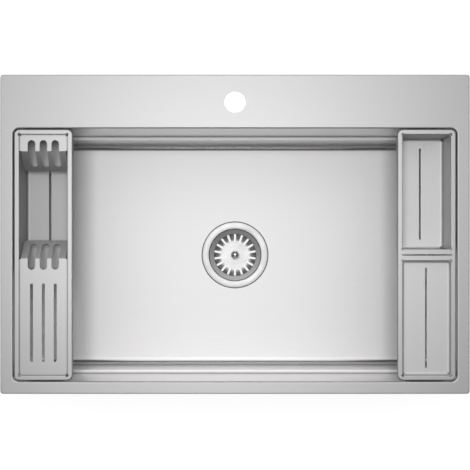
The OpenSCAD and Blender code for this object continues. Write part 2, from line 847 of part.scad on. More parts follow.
module left_tray_top() {
    span = [[-inner_y, inner_y]];
    color(steel) at_tray(-1) difference() {
        union() {
            tray_flange(span);
            translate([0, back_bend_y, -panel_drop]) comb(comb_panel);
            translate([0, front_bend_y, -panel_drop]) mirror([0, 1, 0])
                comb(inner_y + front_bend_y);
        }
        translate([0, 0, -collar_h - cut]) linear_extrude(tray_t + 2 * cut) knife_slots();
        relief_holes(span);
    }
}

// Box folded from one sheet, open at its corners. Its inner faces are at
// -inner_x, inner_x, y0 and y1, its floor is h below the flange, and its walls
// start under the collar.
module folded_box(y0, y1, h, r) {
    length = y1 - y0;
    wall_h = h - r - collar_h;
    translate([-inner_x + r, y0 + r, -h - tray_t])
        cube([2 * (inner_x - r), length - 2 * r, tray_t]);
    translate([0, (y0 + y1) / 2, -h]) for (k = [0:3]) {
        across = k % 2 == 0 ? 2 * inner_x : length;
        along = k % 2 == 0 ? length : 2 * inner_x;
        rotate([0, 0, 90 * k]) translate([across / 2, 0, 0]) {
            rotate([90, 0, 0]) linear_extrude(height = along - 2 * r, center = true)
                foot_bend(r, tray_t);
            translate([0, -along / 2 + seam_gap, r])
                cube([tray_t, along - 2 * seam_gap, wall_h]);
        }
    }
}

// Folded box with a drain slot along its floor
module drained_box(y0, y1, h, r, slot_w, slot_end) {
    difference() {
        folded_box(y0, y1, h, r);
        translate([0, 0, -h - tray_t - cut]) linear_extrude(tray_t + 2 * cut)
            slot_shape(slot_w, y0 + slot_end, y1 - slot_end);
    }
}

module left_tray_trough() {
    color(steel) at_tray(-1)
        drained_box(trough_front_y, inner_y, well_h, well_bend_r, trough_slot_w,
            trough_slot_end);
}

module right_tray_top() {
    spans = [[divider_w / 2, inner_y], [-inner_y, -divider_w / 2]];
    color(steel) at_tray(1) difference() {
        tray_flange(spans);
        relief_holes(spans);
        translate([-inner_x - tray_t, -slit_w / 2, -tray_t - cut])
            cube([2 * (inner_x + tray_t), slit_w, tray_t + 2 * cut]);
    }
}

module right_tray_deep_well() {
    color(steel) at_tray(1)
        drained_box(divider_w / 2, inner_y, well_h, well_bend_r, well_slot_w,
            well_slot_end);
}

module right_tray_shallow_well() {
    color(steel) at_tray(1)
        drained_box(-inner_y, -divider_w / 2, dish_h, dish_bend_r, well_slot_w,
            dish_slot_end);
}

// Two end legs, welded inside the turned-down edge
module tray_legs() {
    for (end = [0, 1]) rotate([0, 0, 180 * end]) {
        translate([-leg_w / 2, leg_y - tray_t, leg_bottom])
            cube([leg_w, tray_t, -tray_bend_r - leg_bottom]);
        for (sx = [0, 1]) mirror([sx, 0, 0])
            translate([leg_w / 2 - tray_t, leg_y - tray_t - leg_flange,
                leg_bottom + leg_flange_end])
                cube([tray_t, leg_flange, -leg_flange_top - leg_bottom - leg_flange_end]);
    }
}

// Two silicone shoes on the legs' lower edges
module tray_feet() {
    for (end = [0, 1]) rotate([0, 0, 180 * end]) difference() {
        translate([-leg_w / 2 - foot_t, leg_y - tray_t - foot_t, leg_bottom - foot_floor])
            cube([leg_w + 2 * foot_t, tray_t + 2 * foot_t, foot_h]);
        translate([-leg_w / 2, leg_y - tray_t, leg_bottom])
            cube([leg_w, tray_t, foot_h]);
    }
}

module left_tray_legs() { color(steel) at_tray(-1) tray_legs(); }
module left_tray_feet() { color(silicone_grey) at_tray(-1) tray_feet(); }
module right_tray_legs() { color(steel) at_tray(1) tray_legs(); }
module right_tray_feet() { color(silicone_grey) at_tray(1) tray_feet(); }

deck_plate();
bowl_shell();
rim_seal();
floor_pads();
wall_pads();
clip_rail_front();
clip_rail_back();
clip_rail_left();
clip_rail_right();
clip_arms();
clip_screws();
clip_caps();
strainer_body();
flange_gasket();
rubber_washer();
slip_ring();
lock_nut();
basket();
basket_ring();
basket_post();
basket_knob();
post_nut();
left_tray_top();
left_tray_trough();
left_tray_legs();
left_tray_feet();
right_tray_top();
right_tray_deep_well();
right_tray_shallow_well();
right_tray_legs();
right_tray_feet();
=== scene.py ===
"""Finishes a packed single bowl kitchen sink: sheet, strainer, organiser trays and fixings."""

import math
from collections import namedtuple

import bmesh
import bpy
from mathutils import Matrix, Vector


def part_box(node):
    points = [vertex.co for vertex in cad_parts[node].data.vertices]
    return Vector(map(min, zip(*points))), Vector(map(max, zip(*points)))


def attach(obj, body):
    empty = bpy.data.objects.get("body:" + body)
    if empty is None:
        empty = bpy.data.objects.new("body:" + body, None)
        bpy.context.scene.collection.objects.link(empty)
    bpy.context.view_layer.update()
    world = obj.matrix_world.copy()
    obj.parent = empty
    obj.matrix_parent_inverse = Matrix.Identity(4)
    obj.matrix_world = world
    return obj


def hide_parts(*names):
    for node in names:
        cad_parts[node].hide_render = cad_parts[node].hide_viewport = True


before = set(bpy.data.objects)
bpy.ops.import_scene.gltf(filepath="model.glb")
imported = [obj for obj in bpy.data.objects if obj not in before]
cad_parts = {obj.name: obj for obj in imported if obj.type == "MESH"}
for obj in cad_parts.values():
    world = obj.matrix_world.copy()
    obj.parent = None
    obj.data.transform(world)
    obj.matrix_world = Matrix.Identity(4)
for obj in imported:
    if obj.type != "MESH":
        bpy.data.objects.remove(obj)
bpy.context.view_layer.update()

bl_info = {
    "name": "Single Bowl Sink Finisher",
    "version": (1, 0, 0),
    "blender": (4, 5, 0),
    "location": "View3D > Sidebar > Sink",
    "description": "Brushed sheet, threads, seals, pads and a studio for an inset kitchen sink",
    "category": "Object",
}

MM = 0.001

# Distances under which vertices are merged
MERGE_REACH = 1e-6
OUTLINE_MERGE_REACH = 1e-7
# Angles between faces, in degrees: shaded smooth below, bevelled above, dissolved below
SMOOTH_ANGLE = 35
SHARP_ANGLE = 40
FLAT_ANGLE = 0.5
# Share of a face's normal along an axis: it looks along the axis above, across it below
ALONG = 0.9
ACROSS = 0.1
# Steps of a rounded corner in a turned outline
ARC_STEPS = 6
# A thread's ridge: share of its depth sunk in the root, and shares of the pitch at its corners
THREAD_SINK = 0.3
THREAD_SECTION = (0.0, 0.36, 0.52, 0.88)

deck_low, deck_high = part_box("deck_plate")
bowl_low, bowl_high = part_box("bowl_shell")
body_low, body_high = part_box("strainer_body")
DECK_WIDTH = deck_high.x - deck_low.x
DECK_TOP = deck_high.z
FLOOR_LEVEL = body_low.z
DRAIN = Vector(((body_low.x + body_high.x) / 2, (body_low.y + body_high.y) / 2, 0.0))


class SINK_PG_studio(bpy.types.PropertyGroup):
    """Camera, soft box, sky and floor"""
    camera_height: bpy.props.FloatProperty(
        name="Camera height", description="Height of the camera above the deck",
        default=1.5, min=0.5, unit="LENGTH")
    camera_forward: bpy.props.FloatProperty(
        name="Camera forward", description="Distance of the camera in front of the sink's centre",
        default=0.0323, unit="LENGTH")
    frame_shift: bpy.props.FloatProperty(
        name="Frame shift", description="Upward shift of the frame, as a share of its width",
        default=0.0415)
    sensor_width: bpy.props.FloatProperty(
        name="Sensor width", description="Width of the camera's sensor in millimetres",
        default=36.0)
    sky_back: bpy.props.FloatProperty(
        name="Sky behind", description="Brightness of the sky overhead and behind the sink",
        default=1.10, min=0.0)
    sky_front: bpy.props.FloatProperty(
        name="Sky in front", description="Brightness of the sky low in front of the sink",
        default=0.0, min=0.0)
    sky_turn_front: bpy.props.FloatProperty(
        name="Dim up to", description="Forward share of a direction at which the sky is dimmest",
        default=-0.4, min=-1.0, max=1.0)
    sky_turn_back: bpy.props.FloatProperty(
        name="Bright from",
        description="Backward share of a direction from which the sky is brightest",
        default=0.5, min=-1.0, max=1.0)
    sky_side: bpy.props.FloatProperty(
        name="Sky at the sides", description="Share of the brightness that is left at the sides",
        default=0.45, min=0.0, max=1.0, subtype="FACTOR")
    glow_aside: bpy.props.FloatProperty(
        name="Glow's place", description="Sideways share of the direction of the brightest band",
        default=-0.05, min=-1.0, max=1.0)
    glow_reach: bpy.props.FloatProperty(
        name="Glow's reach", description="Sideways share over which the sky dims",
        default=0.8, min=0.05, max=1.0)
    sky_colour: bpy.props.FloatVectorProperty(
        name="Sky colour", description="Colour of the soft sky", subtype="COLOR",
        default=(1.0, 1.0, 1.0), min=0.0, max=1.0)
    box_light: bpy.props.FloatProperty(
        name="Soft box", description="Power of the soft box overhead", default=18.5, min=0.0,
        unit="POWER")
    box_place: bpy.props.FloatVectorProperty(
        name="Soft box place", description="Where the soft box hangs, looking down",
        default=(-0.06, 0.10, 1.8), subtype="TRANSLATION", unit="LENGTH")
    box_width: bpy.props.FloatProperty(
        name="Soft box width", description="Width and depth of the soft box", default=0.6,
        min=0.05, unit="LENGTH")
    floor_white: bpy.props.FloatProperty(
        name="Floor white", description="Share of white that the floor shows by itself",
        default=0.90, min=0.0, max=1.0, subtype="FACTOR")
    floor_colour: bpy.props.FloatVectorProperty(
        name="Floor colour", description="Colour of the pale floor", subtype="COLOR",
        default=(0.20, 0.20, 0.20), min=0.0, max=1.0)


class SINK_PG_steel(bpy.types.PropertyGroup):
    """Finish of the sheet, the strainer and the plated pieces"""
    deck_colour: bpy.props.FloatVectorProperty(
        name="Deck", description="Colour of the deck's brushed face", subtype="COLOR",
        default=(0.488, 0.484, 0.486), min=0.0, max=1.0)
    bowl_colour: bpy.props.FloatVectorProperty(
        name="Bowl", description="Colour of the satin bowl", subtype="COLOR",
        default=(0.704, 0.696, 0.700), min=0.0, max=1.0)
    skin_colour: bpy.props.FloatVectorProperty(
        name="Bowl outside", description="Colour of the bowl's mill finish outside",
        subtype="COLOR", default=(0.56, 0.56, 0.558), min=0.0, max=1.0)
    skin_roughness: bpy.props.FloatProperty(
        name="Outside roughness", description="Roughness of the bowl outside", default=0.40,
        min=0.05, max=1.0, subtype="FACTOR")
    tray_colour: bpy.props.FloatVectorProperty(
        name="Trays", description="Colour of the brushed trays", subtype="COLOR",
        default=(0.450, 0.450, 0.450), min=0.0, max=1.0)
    trough_colour: bpy.props.FloatVectorProperty(
        name="Trough", description="Colour of the left tray's trough", subtype="COLOR",
        default=(0.400, 0.400, 0.400), min=0.0, max=1.0)
    well_colour: bpy.props.FloatVectorProperty(
        name="Wells", description="Colour of the right tray's folded wells", subtype="COLOR",
        default=(0.580, 0.578, 0.580), min=0.0, max=1.0)
    deck_roughness: bpy.props.FloatProperty(
        name="Deck roughness", description="Roughness of the deck's brushed face", default=0.56,
        min=0.05, max=1.0, subtype="FACTOR")
    bowl_roughness: bpy.props.FloatProperty(
        name="Bowl roughness", description="Roughness inside the bowl", default=0.61,
        min=0.05, max=1.0, subtype="FACTOR")
    wall_roughness: bpy.props.FloatProperty(
        name="Wall roughness", description="Roughness of the bowl's walls and bends", default=0.25,
        min=0.05, max=1.0, subtype="FACTOR")
    grain: bpy.props.FloatProperty(
        name="Grain", description="How far brush lines change the roughness", default=0.012,
        min=0.0, max=0.2)
    tray_roughness: bpy.props.FloatProperty(
        name="Tray roughness", description="Roughness of the trays", default=0.53,
        min=0.05, max=1.0, subtype="FACTOR")
    stretch: bpy.props.FloatProperty(
        name="Stretch", description="How far brushing stretches highlights across its lines",
        default=0.1, min=0.0, max=1.0, subtype="FACTOR")
    well_roughness: bpy.props.FloatProperty(
        name="Well roughness", description="Roughness of the folded trough and wells",
        default=0.62, min=0.05, max=1.0, subtype="FACTOR")
    hairline: bpy.props.FloatProperty(
        name="Hairline", description="Width of the finest brush lines", default=0.0004,
        min=0.0001, unit="LENGTH")
    hairline_run: bpy.props.FloatProperty(
        name="Hairline run", description="How many times longer than wide a brush line is",
        default=160.0, min=1.0)
    strainer_colour: bpy.props.FloatVectorProperty(
        name="Strainer", description="Colour of the spun strainer", subtype="COLOR",
        default=(0.56, 0.56, 0.56), min=0.0, max=1.0)
    basket_colour: bpy.props.FloatVectorProperty(
        name="Basket", description="Colour of the spun basket", subtype="COLOR",
        default=(0.47, 0.47, 0.47), min=0.0, max=1.0)
    strainer_roughness: bpy.props.FloatProperty(
        name="Strainer roughness", description="Roughness of the spun strainer", default=0.54,
        min=0.05, max=1.0, subtype="FACTOR")
    basket_roughness: bpy.props.FloatProperty(
        name="Basket roughness", description="Roughness of the spun basket", default=0.50,
        min=0.05, max=1.0, subtype="FACTOR")
    # Painted shade in tight inner corners: how far it reaches and how much of the colour it leaves
    crease_shade_reach: bpy.props.FloatProperty(
        name="Crease reach", description="How far from a tight inner corner it may look dull",
        default=5.0 * MM, min=0.0, unit="LENGTH")
    crease_shade_depth: bpy.props.FloatProperty(
        name="Crease depth", description="Share of the colour left in the tightest corners",
        default=0.3, min=0.0, max=1.0, subtype="FACTOR")
    chrome_colour: bpy.props.FloatVectorProperty(
        name="Chrome", description="Colour of the plated knob", subtype="COLOR",
        default=(0.80, 0.81, 0.83), min=0.0, max=1.0)
    zinc_colour: bpy.props.FloatVectorProperty(
        name="Zinc", description="Colour of the plated clips and rails", subtype="COLOR",
        default=(0.58, 0.59, 0.60), min=0.0, max=1.0)


class SINK_PG_drain(bpy.types.PropertyGroup):
    """Sizes of the strainer that its box doesn't give"""
    flange_thickness: bpy.props.FloatProperty(
        name="Flange thickness", description="Thickness of the strainer's flange",
        default=1.0 * MM, unit="LENGTH")
    throat_flare: bpy.props.FloatProperty(
        name="Throat flare", description="Widening of the throat at the flange",
        default=0.8 * MM, unit="LENGTH")
    throat_radius: bpy.props.FloatProperty(
        name="Throat radius", description="Radius of the throat above the seat",
        default=46.7 * MM, unit="LENGTH")
    seat_depth: bpy.props.FloatProperty(
        name="Seat depth", description="Depth of the basket's seat below the bowl's floor",
        default=6.0 * MM, unit="LENGTH")
    sleeve_bore: bpy.props.FloatProperty(
        name="Sleeve bore", description="Inside radius of the sleeve", default=40.5 * MM,
        unit="LENGTH")
    nut_thread: bpy.props.FloatProperty(
        name="Nut thread", description="Outside radius of the thread under the lock nut",
        default=43.0 * MM, unit="LENGTH")
    nut_run_out: bpy.props.FloatProperty(
        name="Nut thread's end", description="Length of the nut's thread below the nut",
        default=4.0 * MM, unit="LENGTH")
    trap_thread: bpy.props.FloatProperty(
        name="Trap thread", description="Outside radius of the thread for the trap",
        default=42.0 * MM, unit="LENGTH")
    thread_pitch: bpy.props.FloatProperty(
        name="Thread pitch", description="Pitch of the threads on the sleeve", default=2.5 * MM,
        unit="LENGTH")
    thread_depth: bpy.props.FloatProperty(
        name="Thread depth", description="Depth of the threads on the sleeve", default=0.9 * MM,
        unit="LENGTH")


class SINK_PG_fixing(bpy.types.PropertyGroup):
    """Sizes of the clip screws and the sound pads"""
    screw_pitch: bpy.props.FloatProperty(
        name="Screw pitch", description="Pitch of the clip screws", default=0.9 * MM,
        unit="LENGTH")
    screw_radius: bpy.props.FloatProperty(
        name="Screw radius", description="Outside radius of the clip screws", default=2.5 * MM,
        unit="LENGTH")
    pad_cell: bpy.props.FloatProperty(
        name="Pad cell", description="Width of the squares pressed into the sound pads",
        default=18.0 * MM, unit="LENGTH")
    pad_relief: bpy.props.FloatProperty(
        name="Pad relief", description="Height of the squares on the sound pads",
        default=0.5 * MM, unit="LENGTH")


def studio():
    return bpy.context.scene.sink_studio


def steel():
    return bpy.context.scene.sink_steel


def drain():
    return bpy.context.scene.sink_drain


def fixing():
    return bpy.context.scene.sink_fixing


# Modelling helpers

def deselect_all():
    """Leaves edit mode and clears the selection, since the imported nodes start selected."""
    if bpy.context.object and bpy.context.object.mode != "OBJECT":
        bpy.ops.object.mode_set(mode="OBJECT")
    bpy.ops.object.select_all(action="DESELECT")


def take(piece):
    """Makes one piece the only selected and the active one."""
    deselect_all()
    piece.select_set(True)
    bpy.context.view_layer.objects.active = piece
    return piece


def edit(kind="VERT"):
    bpy.ops.object.mode_set(mode="EDIT")
    bpy.ops.mesh.select_mode(type=kind)


def leave_edit():
    bpy.ops.object.mode_set(mode="OBJECT")


def settle(name):
    """Names the active piece and puts its place into its mesh."""
    piece = bpy.context.object
    piece.name = name
    piece.data.name = name
    bpy.ops.object.transform_apply(location=True, rotation=True, scale=True)
    return piece


def pick_faces(test):
    """Selects the faces whose centre and normal pass the test. Returns how many there are."""
    mesh = bmesh.from_edit_mesh(bpy.context.object.data)
    bpy.ops.mesh.select_all(action="DESELECT")
    found = [f for f in mesh.faces if test(f.calc_center_median(), f.normal)]
    for face in found:
        face.select_set(True)
    bmesh.update_edit_mesh(bpy.context.object.data)
    return len(found)


def pick_edges(test):
    """Selects the edges whose two ends pass the test. Returns how many there are."""
    mesh = bmesh.from_edit_mesh(bpy.context.object.data)
    bpy.ops.mesh.select_all(action="DESELECT")
    found = [e for e in mesh.edges if test(e.verts[0].co, e.verts[1].co)]
    for edge in found:
        edge.select_set(True)
    bmesh.update_edit_mesh(bpy.context.object.data)
    return len(found)


def add_modifier(piece, kind, **values):
    modifier = piece.modifiers.new(kind.title(), kind)
    for key, value in values.items():
        setattr(modifier, key, value)
    take(piece)
    bpy.ops.object.modifier_apply(modifier=modifier.name)


def smooth(piece, degrees=SMOOTH_ANGLE):
    take(piece)
    bpy.ops.object.shade_smooth_by_angle(angle=math.radians(degrees))


def tidy_normals():
    """Merges doubles and turns every face outwards, in edit mode."""
    bpy.ops.mesh.select_all(action="SELECT")
    bpy.ops.mesh.remove_doubles(threshold=MERGE_REACH)
    bpy.ops.mesh.normals_make_consistent(inside=False)


def arc(radius, level, bend, start, stop, steps=ARC_STEPS):
    """Outline points of an arc whose centre is at (radius, level), angles in degrees."""
    turn = [math.radians(start + (stop - start) * i / steps) for i in range(steps + 1)]
    return [(radius + bend * math.cos(a), level + bend * math.sin(a)) for a in turn]


def start_outline(place):
    """Adds a piece of one vertex and enters edit mode."""
    deselect_all()
    bpy.ops.mesh.primitive_plane_add(size=MM, location=place)
    edit("VERT")
    bpy.ops.mesh.select_all(action="SELECT")
    bpy.ops.mesh.merge(type="CENTER")


def draw_outline(outline, closed=True):
    """Extrudes the first vertex along an outline of (radius, level) points."""
    last = outline[0]
    for point in outline[1:] + (outline[:1] if closed else []):
        step = (point[0] - last[0], 0.0, point[1] - last[1])
        bpy.ops.mesh.extrude_vertices_move(TRANSFORM_OT_translate={"value": step})
        last = point


def turned(name, outline, steps, axis=DRAIN, closed=True):
    """Turns an outline of (radius, level) points round the upright line through axis."""
    first_radius, first_level = outline[0]
    start_outline((axis.x + first_radius, axis.y, first_level))
    draw_outline(outline, closed)
    leave_edit()
    piece = settle(name)
    take(piece)
    edit("VERT")
    bpy.ops.mesh.select_all(action="SELECT")
    bpy.ops.mesh.spin(steps=steps, angle=math.tau, center=(axis.x, axis.y, 0.0), axis=(0, 0, 1))
    tidy_normals()
    leave_edit()
    smooth(piece)
    return piece


def helical_ridge(name, axis, root, crest, low, high, pitch, steps):
    """A thread's ridge from low to high, its foot sunk a little into the root cylinder."""
    sunk = root - THREAD_SINK * (crest - root)
    section = [(radius, share * pitch)
               for radius, share in zip((sunk, crest, crest, sunk), THREAD_SECTION)]
    start_outline((axis.x, axis.y, low))
    piece = bpy.context.object
    bpy.ops.transform.translate(value=(section[0][0], 0.0, section[0][1]))
    draw_outline(section)
    bpy.ops.mesh.select_all(action="SELECT")
    bpy.ops.mesh.remove_doubles(threshold=OUTLINE_MERGE_REACH)
    leave_edit()
    turns = max(1, int((high - low) / pitch) - 1)
    add_modifier(piece, "SCREW", axis="Z", angle=math.tau, screw_offset=pitch, iterations=turns,
                 steps=steps, render_steps=steps, use_merge_vertices=False)
    edit("EDGE")
    bpy.ops.mesh.select_all(action="DESELECT")
    bpy.ops.mesh.select_non_manifold()
    bpy.ops.mesh.edge_face_add()
    bpy.ops.mesh.select_all(action="SELECT")
    bpy.ops.mesh.normals_make_consistent(inside=False)
    leave_edit()
    piece = settle(name)
    smooth(piece)
    return piece


def join(name, pieces):
    """Joins separate meshes into one piece of the given name."""
    take(pieces[0])
    for piece in pieces:
        piece.select_set(True)
    bpy.ops.object.join()
    piece = bpy.context.object
    piece.name = name
    piece.data.name = name
    return piece


def cad_copy(name, node):
    """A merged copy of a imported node, ready to be worked on."""
    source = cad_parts[node]
    deselect_all()
    piece = bpy.data.objects.new(name, source.data.copy())
    bpy.context.scene.collection.objects.link(piece)
    take(piece)
    bpy.ops.mesh.customdata_custom_splitnormals_clear()
    edit("VERT")
    tidy_normals()
    bpy.ops.mesh.dissolve_limited(angle_limit=math.radians(FLAT_ANGLE))
    leave_edit()
    piece.data.materials.clear()
    return piece


def softened(name, node, width, segments=2):
    """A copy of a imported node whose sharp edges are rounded."""
    piece = cad_copy(name, node)
    add_modifier(piece, "BEVEL", width=width, segments=segments, limit_method="ANGLE",
                 angle_limit=math.radians(SHARP_ANGLE), harden_normals=False)
    smooth(piece)
    return piece


def solid_boxes(node):
    """(lowest corner, highest corner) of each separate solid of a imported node."""
    mesh = bmesh.new()
    mesh.from_mesh(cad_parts[node].data)
    bmesh.ops.remove_doubles(mesh, verts=mesh.verts, dist=MERGE_REACH)
    boxes, seen = [], set()
    for seed in mesh.verts:
        if seed in seen:
            continue
        low, high, queue = seed.co.copy(), seed.co.copy(), [seed]
        seen.add(seed)
        while queue:
            vert = queue.pop()
            low = Vector(map(min, low, vert.co))
            high = Vector(map(max, high, vert.co))
            for edge in vert.link_edges:
                other = edge.other_vert(vert)
                if other not in seen:
                    seen.add(other)
                    queue.append(other)
        boxes.append((low, high))
    mesh.free()
    return boxes


def finish_piece(piece, material, slot, body, *nodes):
    """Gives a new piece its material and body, and hides the nodes that it stands for. The slot
    argument is not used.
    """
    piece.data.materials.clear()
    piece.data.materials.append(material)
    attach(piece, body)
    if nodes:
        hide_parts(*nodes)
    return piece


def finish_nodes(material, *nodes):
    """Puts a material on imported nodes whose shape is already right."""
    for node in nodes:
        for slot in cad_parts[node].material_slots:
            slot.material = material


# Materials

# Range in which a noise value mostly lies, and the noise's usual detail and roughness
NOISE_LOW = 0.3
NOISE_HIGH = 0.7
NOISE_DETAIL = 3.0
NOISE_ROUGHNESS = 0.55
SHARP_NOISE_ROUGHNESS = 0.6
# Brush lines: least share of the colour, shares of fine and coarse lines, their widths, depth
LINE_TINT = 0.955
LINE_SHARES = (0.6, 0.4)
LINE_WIDTHS = (1.0, 8.0)
LINE_BUMP = 0.04
LINE_DEPTH = 0.02 * MM
# Share of the normal from which a face is brushed the other way
TURNED_FROM = 0.7
# Shares of the normal between which a bend turns from a wall's finish to a level face's
LEVEL_FROM = 0.86
LEVEL_TO = 0.99
# Painted shade in tight inner corners: open share of a place's surroundings at which it is
# darkest, and at which it ends
CREASE_SHADE_TIGHT = 0.45
CREASE_SHADE_OPEN = 0.9
CREASE_SHADE_SAMPLES = 8

# A soft finish: darkest and lightest colour, size and depth of its grain, roughness, sheen
SoftFinish = namedtuple("SoftFinish", "dark light grain depth roughness sheen")
SOFT_FINISHES = {
    "shoe_silicone": SoftFinish((0.10, 0.10, 0.105), (0.15, 0.15, 0.155),
                                0.5 * MM, 0.02 * MM, 0.5, 0.1),
    "drain_rubber": SoftFinish((0.018, 0.018, 0.019), (0.035, 0.035, 0.036),
                               0.3 * MM, 0.03 * MM, 0.45, 0.1),
    "slip_fibre": SoftFinish((0.52, 0.50, 0.45), (0.62, 0.60, 0.55),
                             0.4 * MM, 0.02 * MM, 0.6, 0.0),
    "nut_plastic": SoftFinish((0.66, 0.65, 0.61), (0.74, 0.73, 0.69),
                              0.35 * MM, 0.02 * MM, 0.45, 0.0),
    "seal_foam": SoftFinish((0.030, 0.030, 0.032), (0.060, 0.060, 0.062),
                            0.6 * MM, 0.2 * MM, 0.85, 0.3),
    "pad_rubber": SoftFinish((0.045, 0.045, 0.048), (0.075, 0.075, 0.078),
                             0.8 * MM, 0.12 * MM, 0.75, 0.1),
    "cap_rubber": SoftFinish((0.02, 0.02, 0.021), (0.04, 0.04, 0.041),
                             0.3 * MM, 0.03 * MM, 0.5, 0.1),
}


def new_material(name, metallic=0.0):
    material = bpy.data.materials.new(name)
    material.use_nodes = True
    shader = material.node_tree.nodes["Principled BSDF"]
    shader.inputs["Metallic"].default_value = metallic
    return material, material.node_tree, shader


def link(tree, source, target):
    tree.links.new(source, target)


def node(tree, kind, **values):
    made = tree.nodes.new(kind)
    for key, value in values.items():
        setattr(made, key, value)
    return made


def mapped(tree, scale, place=(0.0, 0.0, 0.0)):
    """Object coordinates, moved and stretched."""
    coordinates = node(tree, "ShaderNodeTexCoord")
    mapping = node(tree, "ShaderNodeMapping")
    mapping.inputs["Scale"].default_value = scale
    mapping.inputs["Location"].default_value = place
    link(tree, coordinates.outputs["Object"], mapping.inputs["Vector"])
    return mapping.outputs["Vector"]


def noise(tree, vector, detail=NOISE_DETAIL, roughness=NOISE_ROUGHNESS):
    texture = node(tree, "ShaderNodeTexNoise")
    texture.inputs["Scale"].default_value = 1.0
    texture.inputs["Detail"].default_value = detail
    texture.inputs["Roughness"].default_value = roughness
    link(tree, vector, texture.inputs["Vector"])
    return texture.outputs["Fac"]


def even_noise(tree, scale, **values):
    """Noise of the same scale along each axis."""
    return noise(tree, mapped(tree, (scale,) * 3), **values)


def ranged(tree, value, low, high, start=NOISE_LOW, stop=NOISE_HIGH, course="LINEAR"):
    """Maps a value from start..stop to low..high."""
    spread = node(tree, "ShaderNodeMapRange", interpolation_type=course)
    for socket, number in zip(("From Min", "From Max", "To Min", "To Max"),
                              (start, stop, low, high)):
        spread.inputs[socket].default_value = number
    link(tree, value, spread.inputs["Value"])
    return spread.outputs["Result"]


def maths(tree, operation, first, second=0.0):
    made = node(tree, "ShaderNodeMath", operation=operation)
    for socket, value in zip(made.inputs, (first, second)):
        if isinstance(value, (int, float)):
            socket.default_value = value
        else:
            link(tree, value, socket)
    return made.outputs["Value"]


def shade_between(tree, factor, dark, light):
    """A colour between two colours, by a value."""
    mix = node(tree, "ShaderNodeMix", data_type="RGBA")
    mix.inputs["A"].default_value = (*dark, 1.0)
    mix.inputs["B"].default_value = (*light, 1.0)
    link(tree, factor, mix.inputs["Factor"])
    return mix.outputs["Result"]


def coloured(tree, shader, factor, dark, light):
    link(tree, shade_between(tree, factor, dark, light), shader.inputs["Base Color"])


def bumped(tree, shader, height, strength, distance):
    bump = node(tree, "ShaderNodeBump")
    bump.inputs["Strength"].default_value = strength
    bump.inputs["Distance"].default_value = distance
    link(tree, height, bump.inputs["Height"])
    link(tree, bump.outputs["Normal"], shader.inputs["Normal"])


def creased(tree, colour):
    """A colour with painted shade in tight inner corners, darkest where the piece's own shape
    closes in most.
    """
    values = steel()
    # Ambient occlusion of the piece's own shape sets how much shade is painted
    corner = node(tree, "ShaderNodeAmbientOcclusion", samples=CREASE_SHADE_SAMPLES, only_local=True)
    corner.inputs["Distance"].default_value = values.crease_shade_reach
    depth = ranged(tree, corner.outputs["AO"], values.crease_shade_depth, 1.0, CREASE_SHADE_TIGHT, CREASE_SHADE_OPEN)
    mix = node(tree, "ShaderNodeMix", data_type="RGBA", blend_type="MULTIPLY")
    mix.inputs["Factor"].default_value = 1.0
    link(tree, colour, mix.inputs["A"])
    link(tree, depth, mix.inputs["B"])
    return mix.outputs["Result"]


def tinted(colour, share):
    return tuple(channel * share for channel in colour)


def normal_share(tree, axis):
    """How far a face looks along an axis, whichever way: 0 across it, 1 along it."""
    geometry = node(tree, "ShaderNodeNewGeometry")
    split = node(tree, "ShaderNodeSeparateXYZ")
    link(tree, geometry.outputs["Normal"], split.inputs["Vector"])
    return maths(tree, "ABSOLUTE", split.outputs[axis])


def hairlines(tree, run_axis, turn_axis, turned_face):
    """Fine and coarse brush lines along the run axis, on turned faces along the turn axis."""
    values = steel()
    fine = 1.0 / values.hairline
    run = fine / values.hairline_run

    def lines(axis, width_share):
        scale = [run / width_share if name == axis else fine / width_share for name in "XYZ"]
        return noise(tree, mapped(tree, scale), roughness=SHARP_NOISE_ROUGHNESS)

    found = []
    for share in LINE_WIDTHS:
        mix = node(tree, "ShaderNodeMix", data_type="FLOAT")
        link(tree, turned_face, mix.inputs["Factor"])
        link(tree, lines(run_axis, share), mix.inputs["A"])
        link(tree, lines(turn_axis, share), mix.inputs["B"])
        found.append(mix.outputs["Result"])
    return found


def stretched(tree, shader, run_axis, turn_axis, turned_face):
    """Stretches highlights across the brush lines."""
    geometry = node(tree, "ShaderNodeNewGeometry")
    run = node(tree, "ShaderNodeCombineXYZ")
    link(tree, maths(tree, "SUBTRACT", 1.0, turned_face), run.inputs[run_axis])
    link(tree, turned_face, run.inputs[turn_axis])
    across = node(tree, "ShaderNodeVectorMath", operation="CROSS_PRODUCT")
    link(tree, geometry.outputs["Normal"], across.inputs[0])
    link(tree, run.outputs["Vector"], across.inputs[1])
    link(tree, across.outputs["Vector"], shader.inputs["Tangent"])
    shader.inputs["Anisotropic"].default_value = steel().stretch


def outer_skin(tree, low, high):
    """1 on faces that look away from the middle of a box, 0 on faces that look into it."""
    middle = (low + high) / 2
    offset = mapped(tree, (1.0, 1.0, 1.0), place=tuple(-middle))
    geometry = node(tree, "ShaderNodeNewGeometry")
    facing = node(tree, "ShaderNodeVectorMath", operation="DOT_PRODUCT")
    link(tree, offset, facing.inputs[0])
    link(tree, geometry.outputs["Normal"], facing.inputs[1])
    return maths(tree, "GREATER_THAN", facing.outputs["Value"], 0.0)


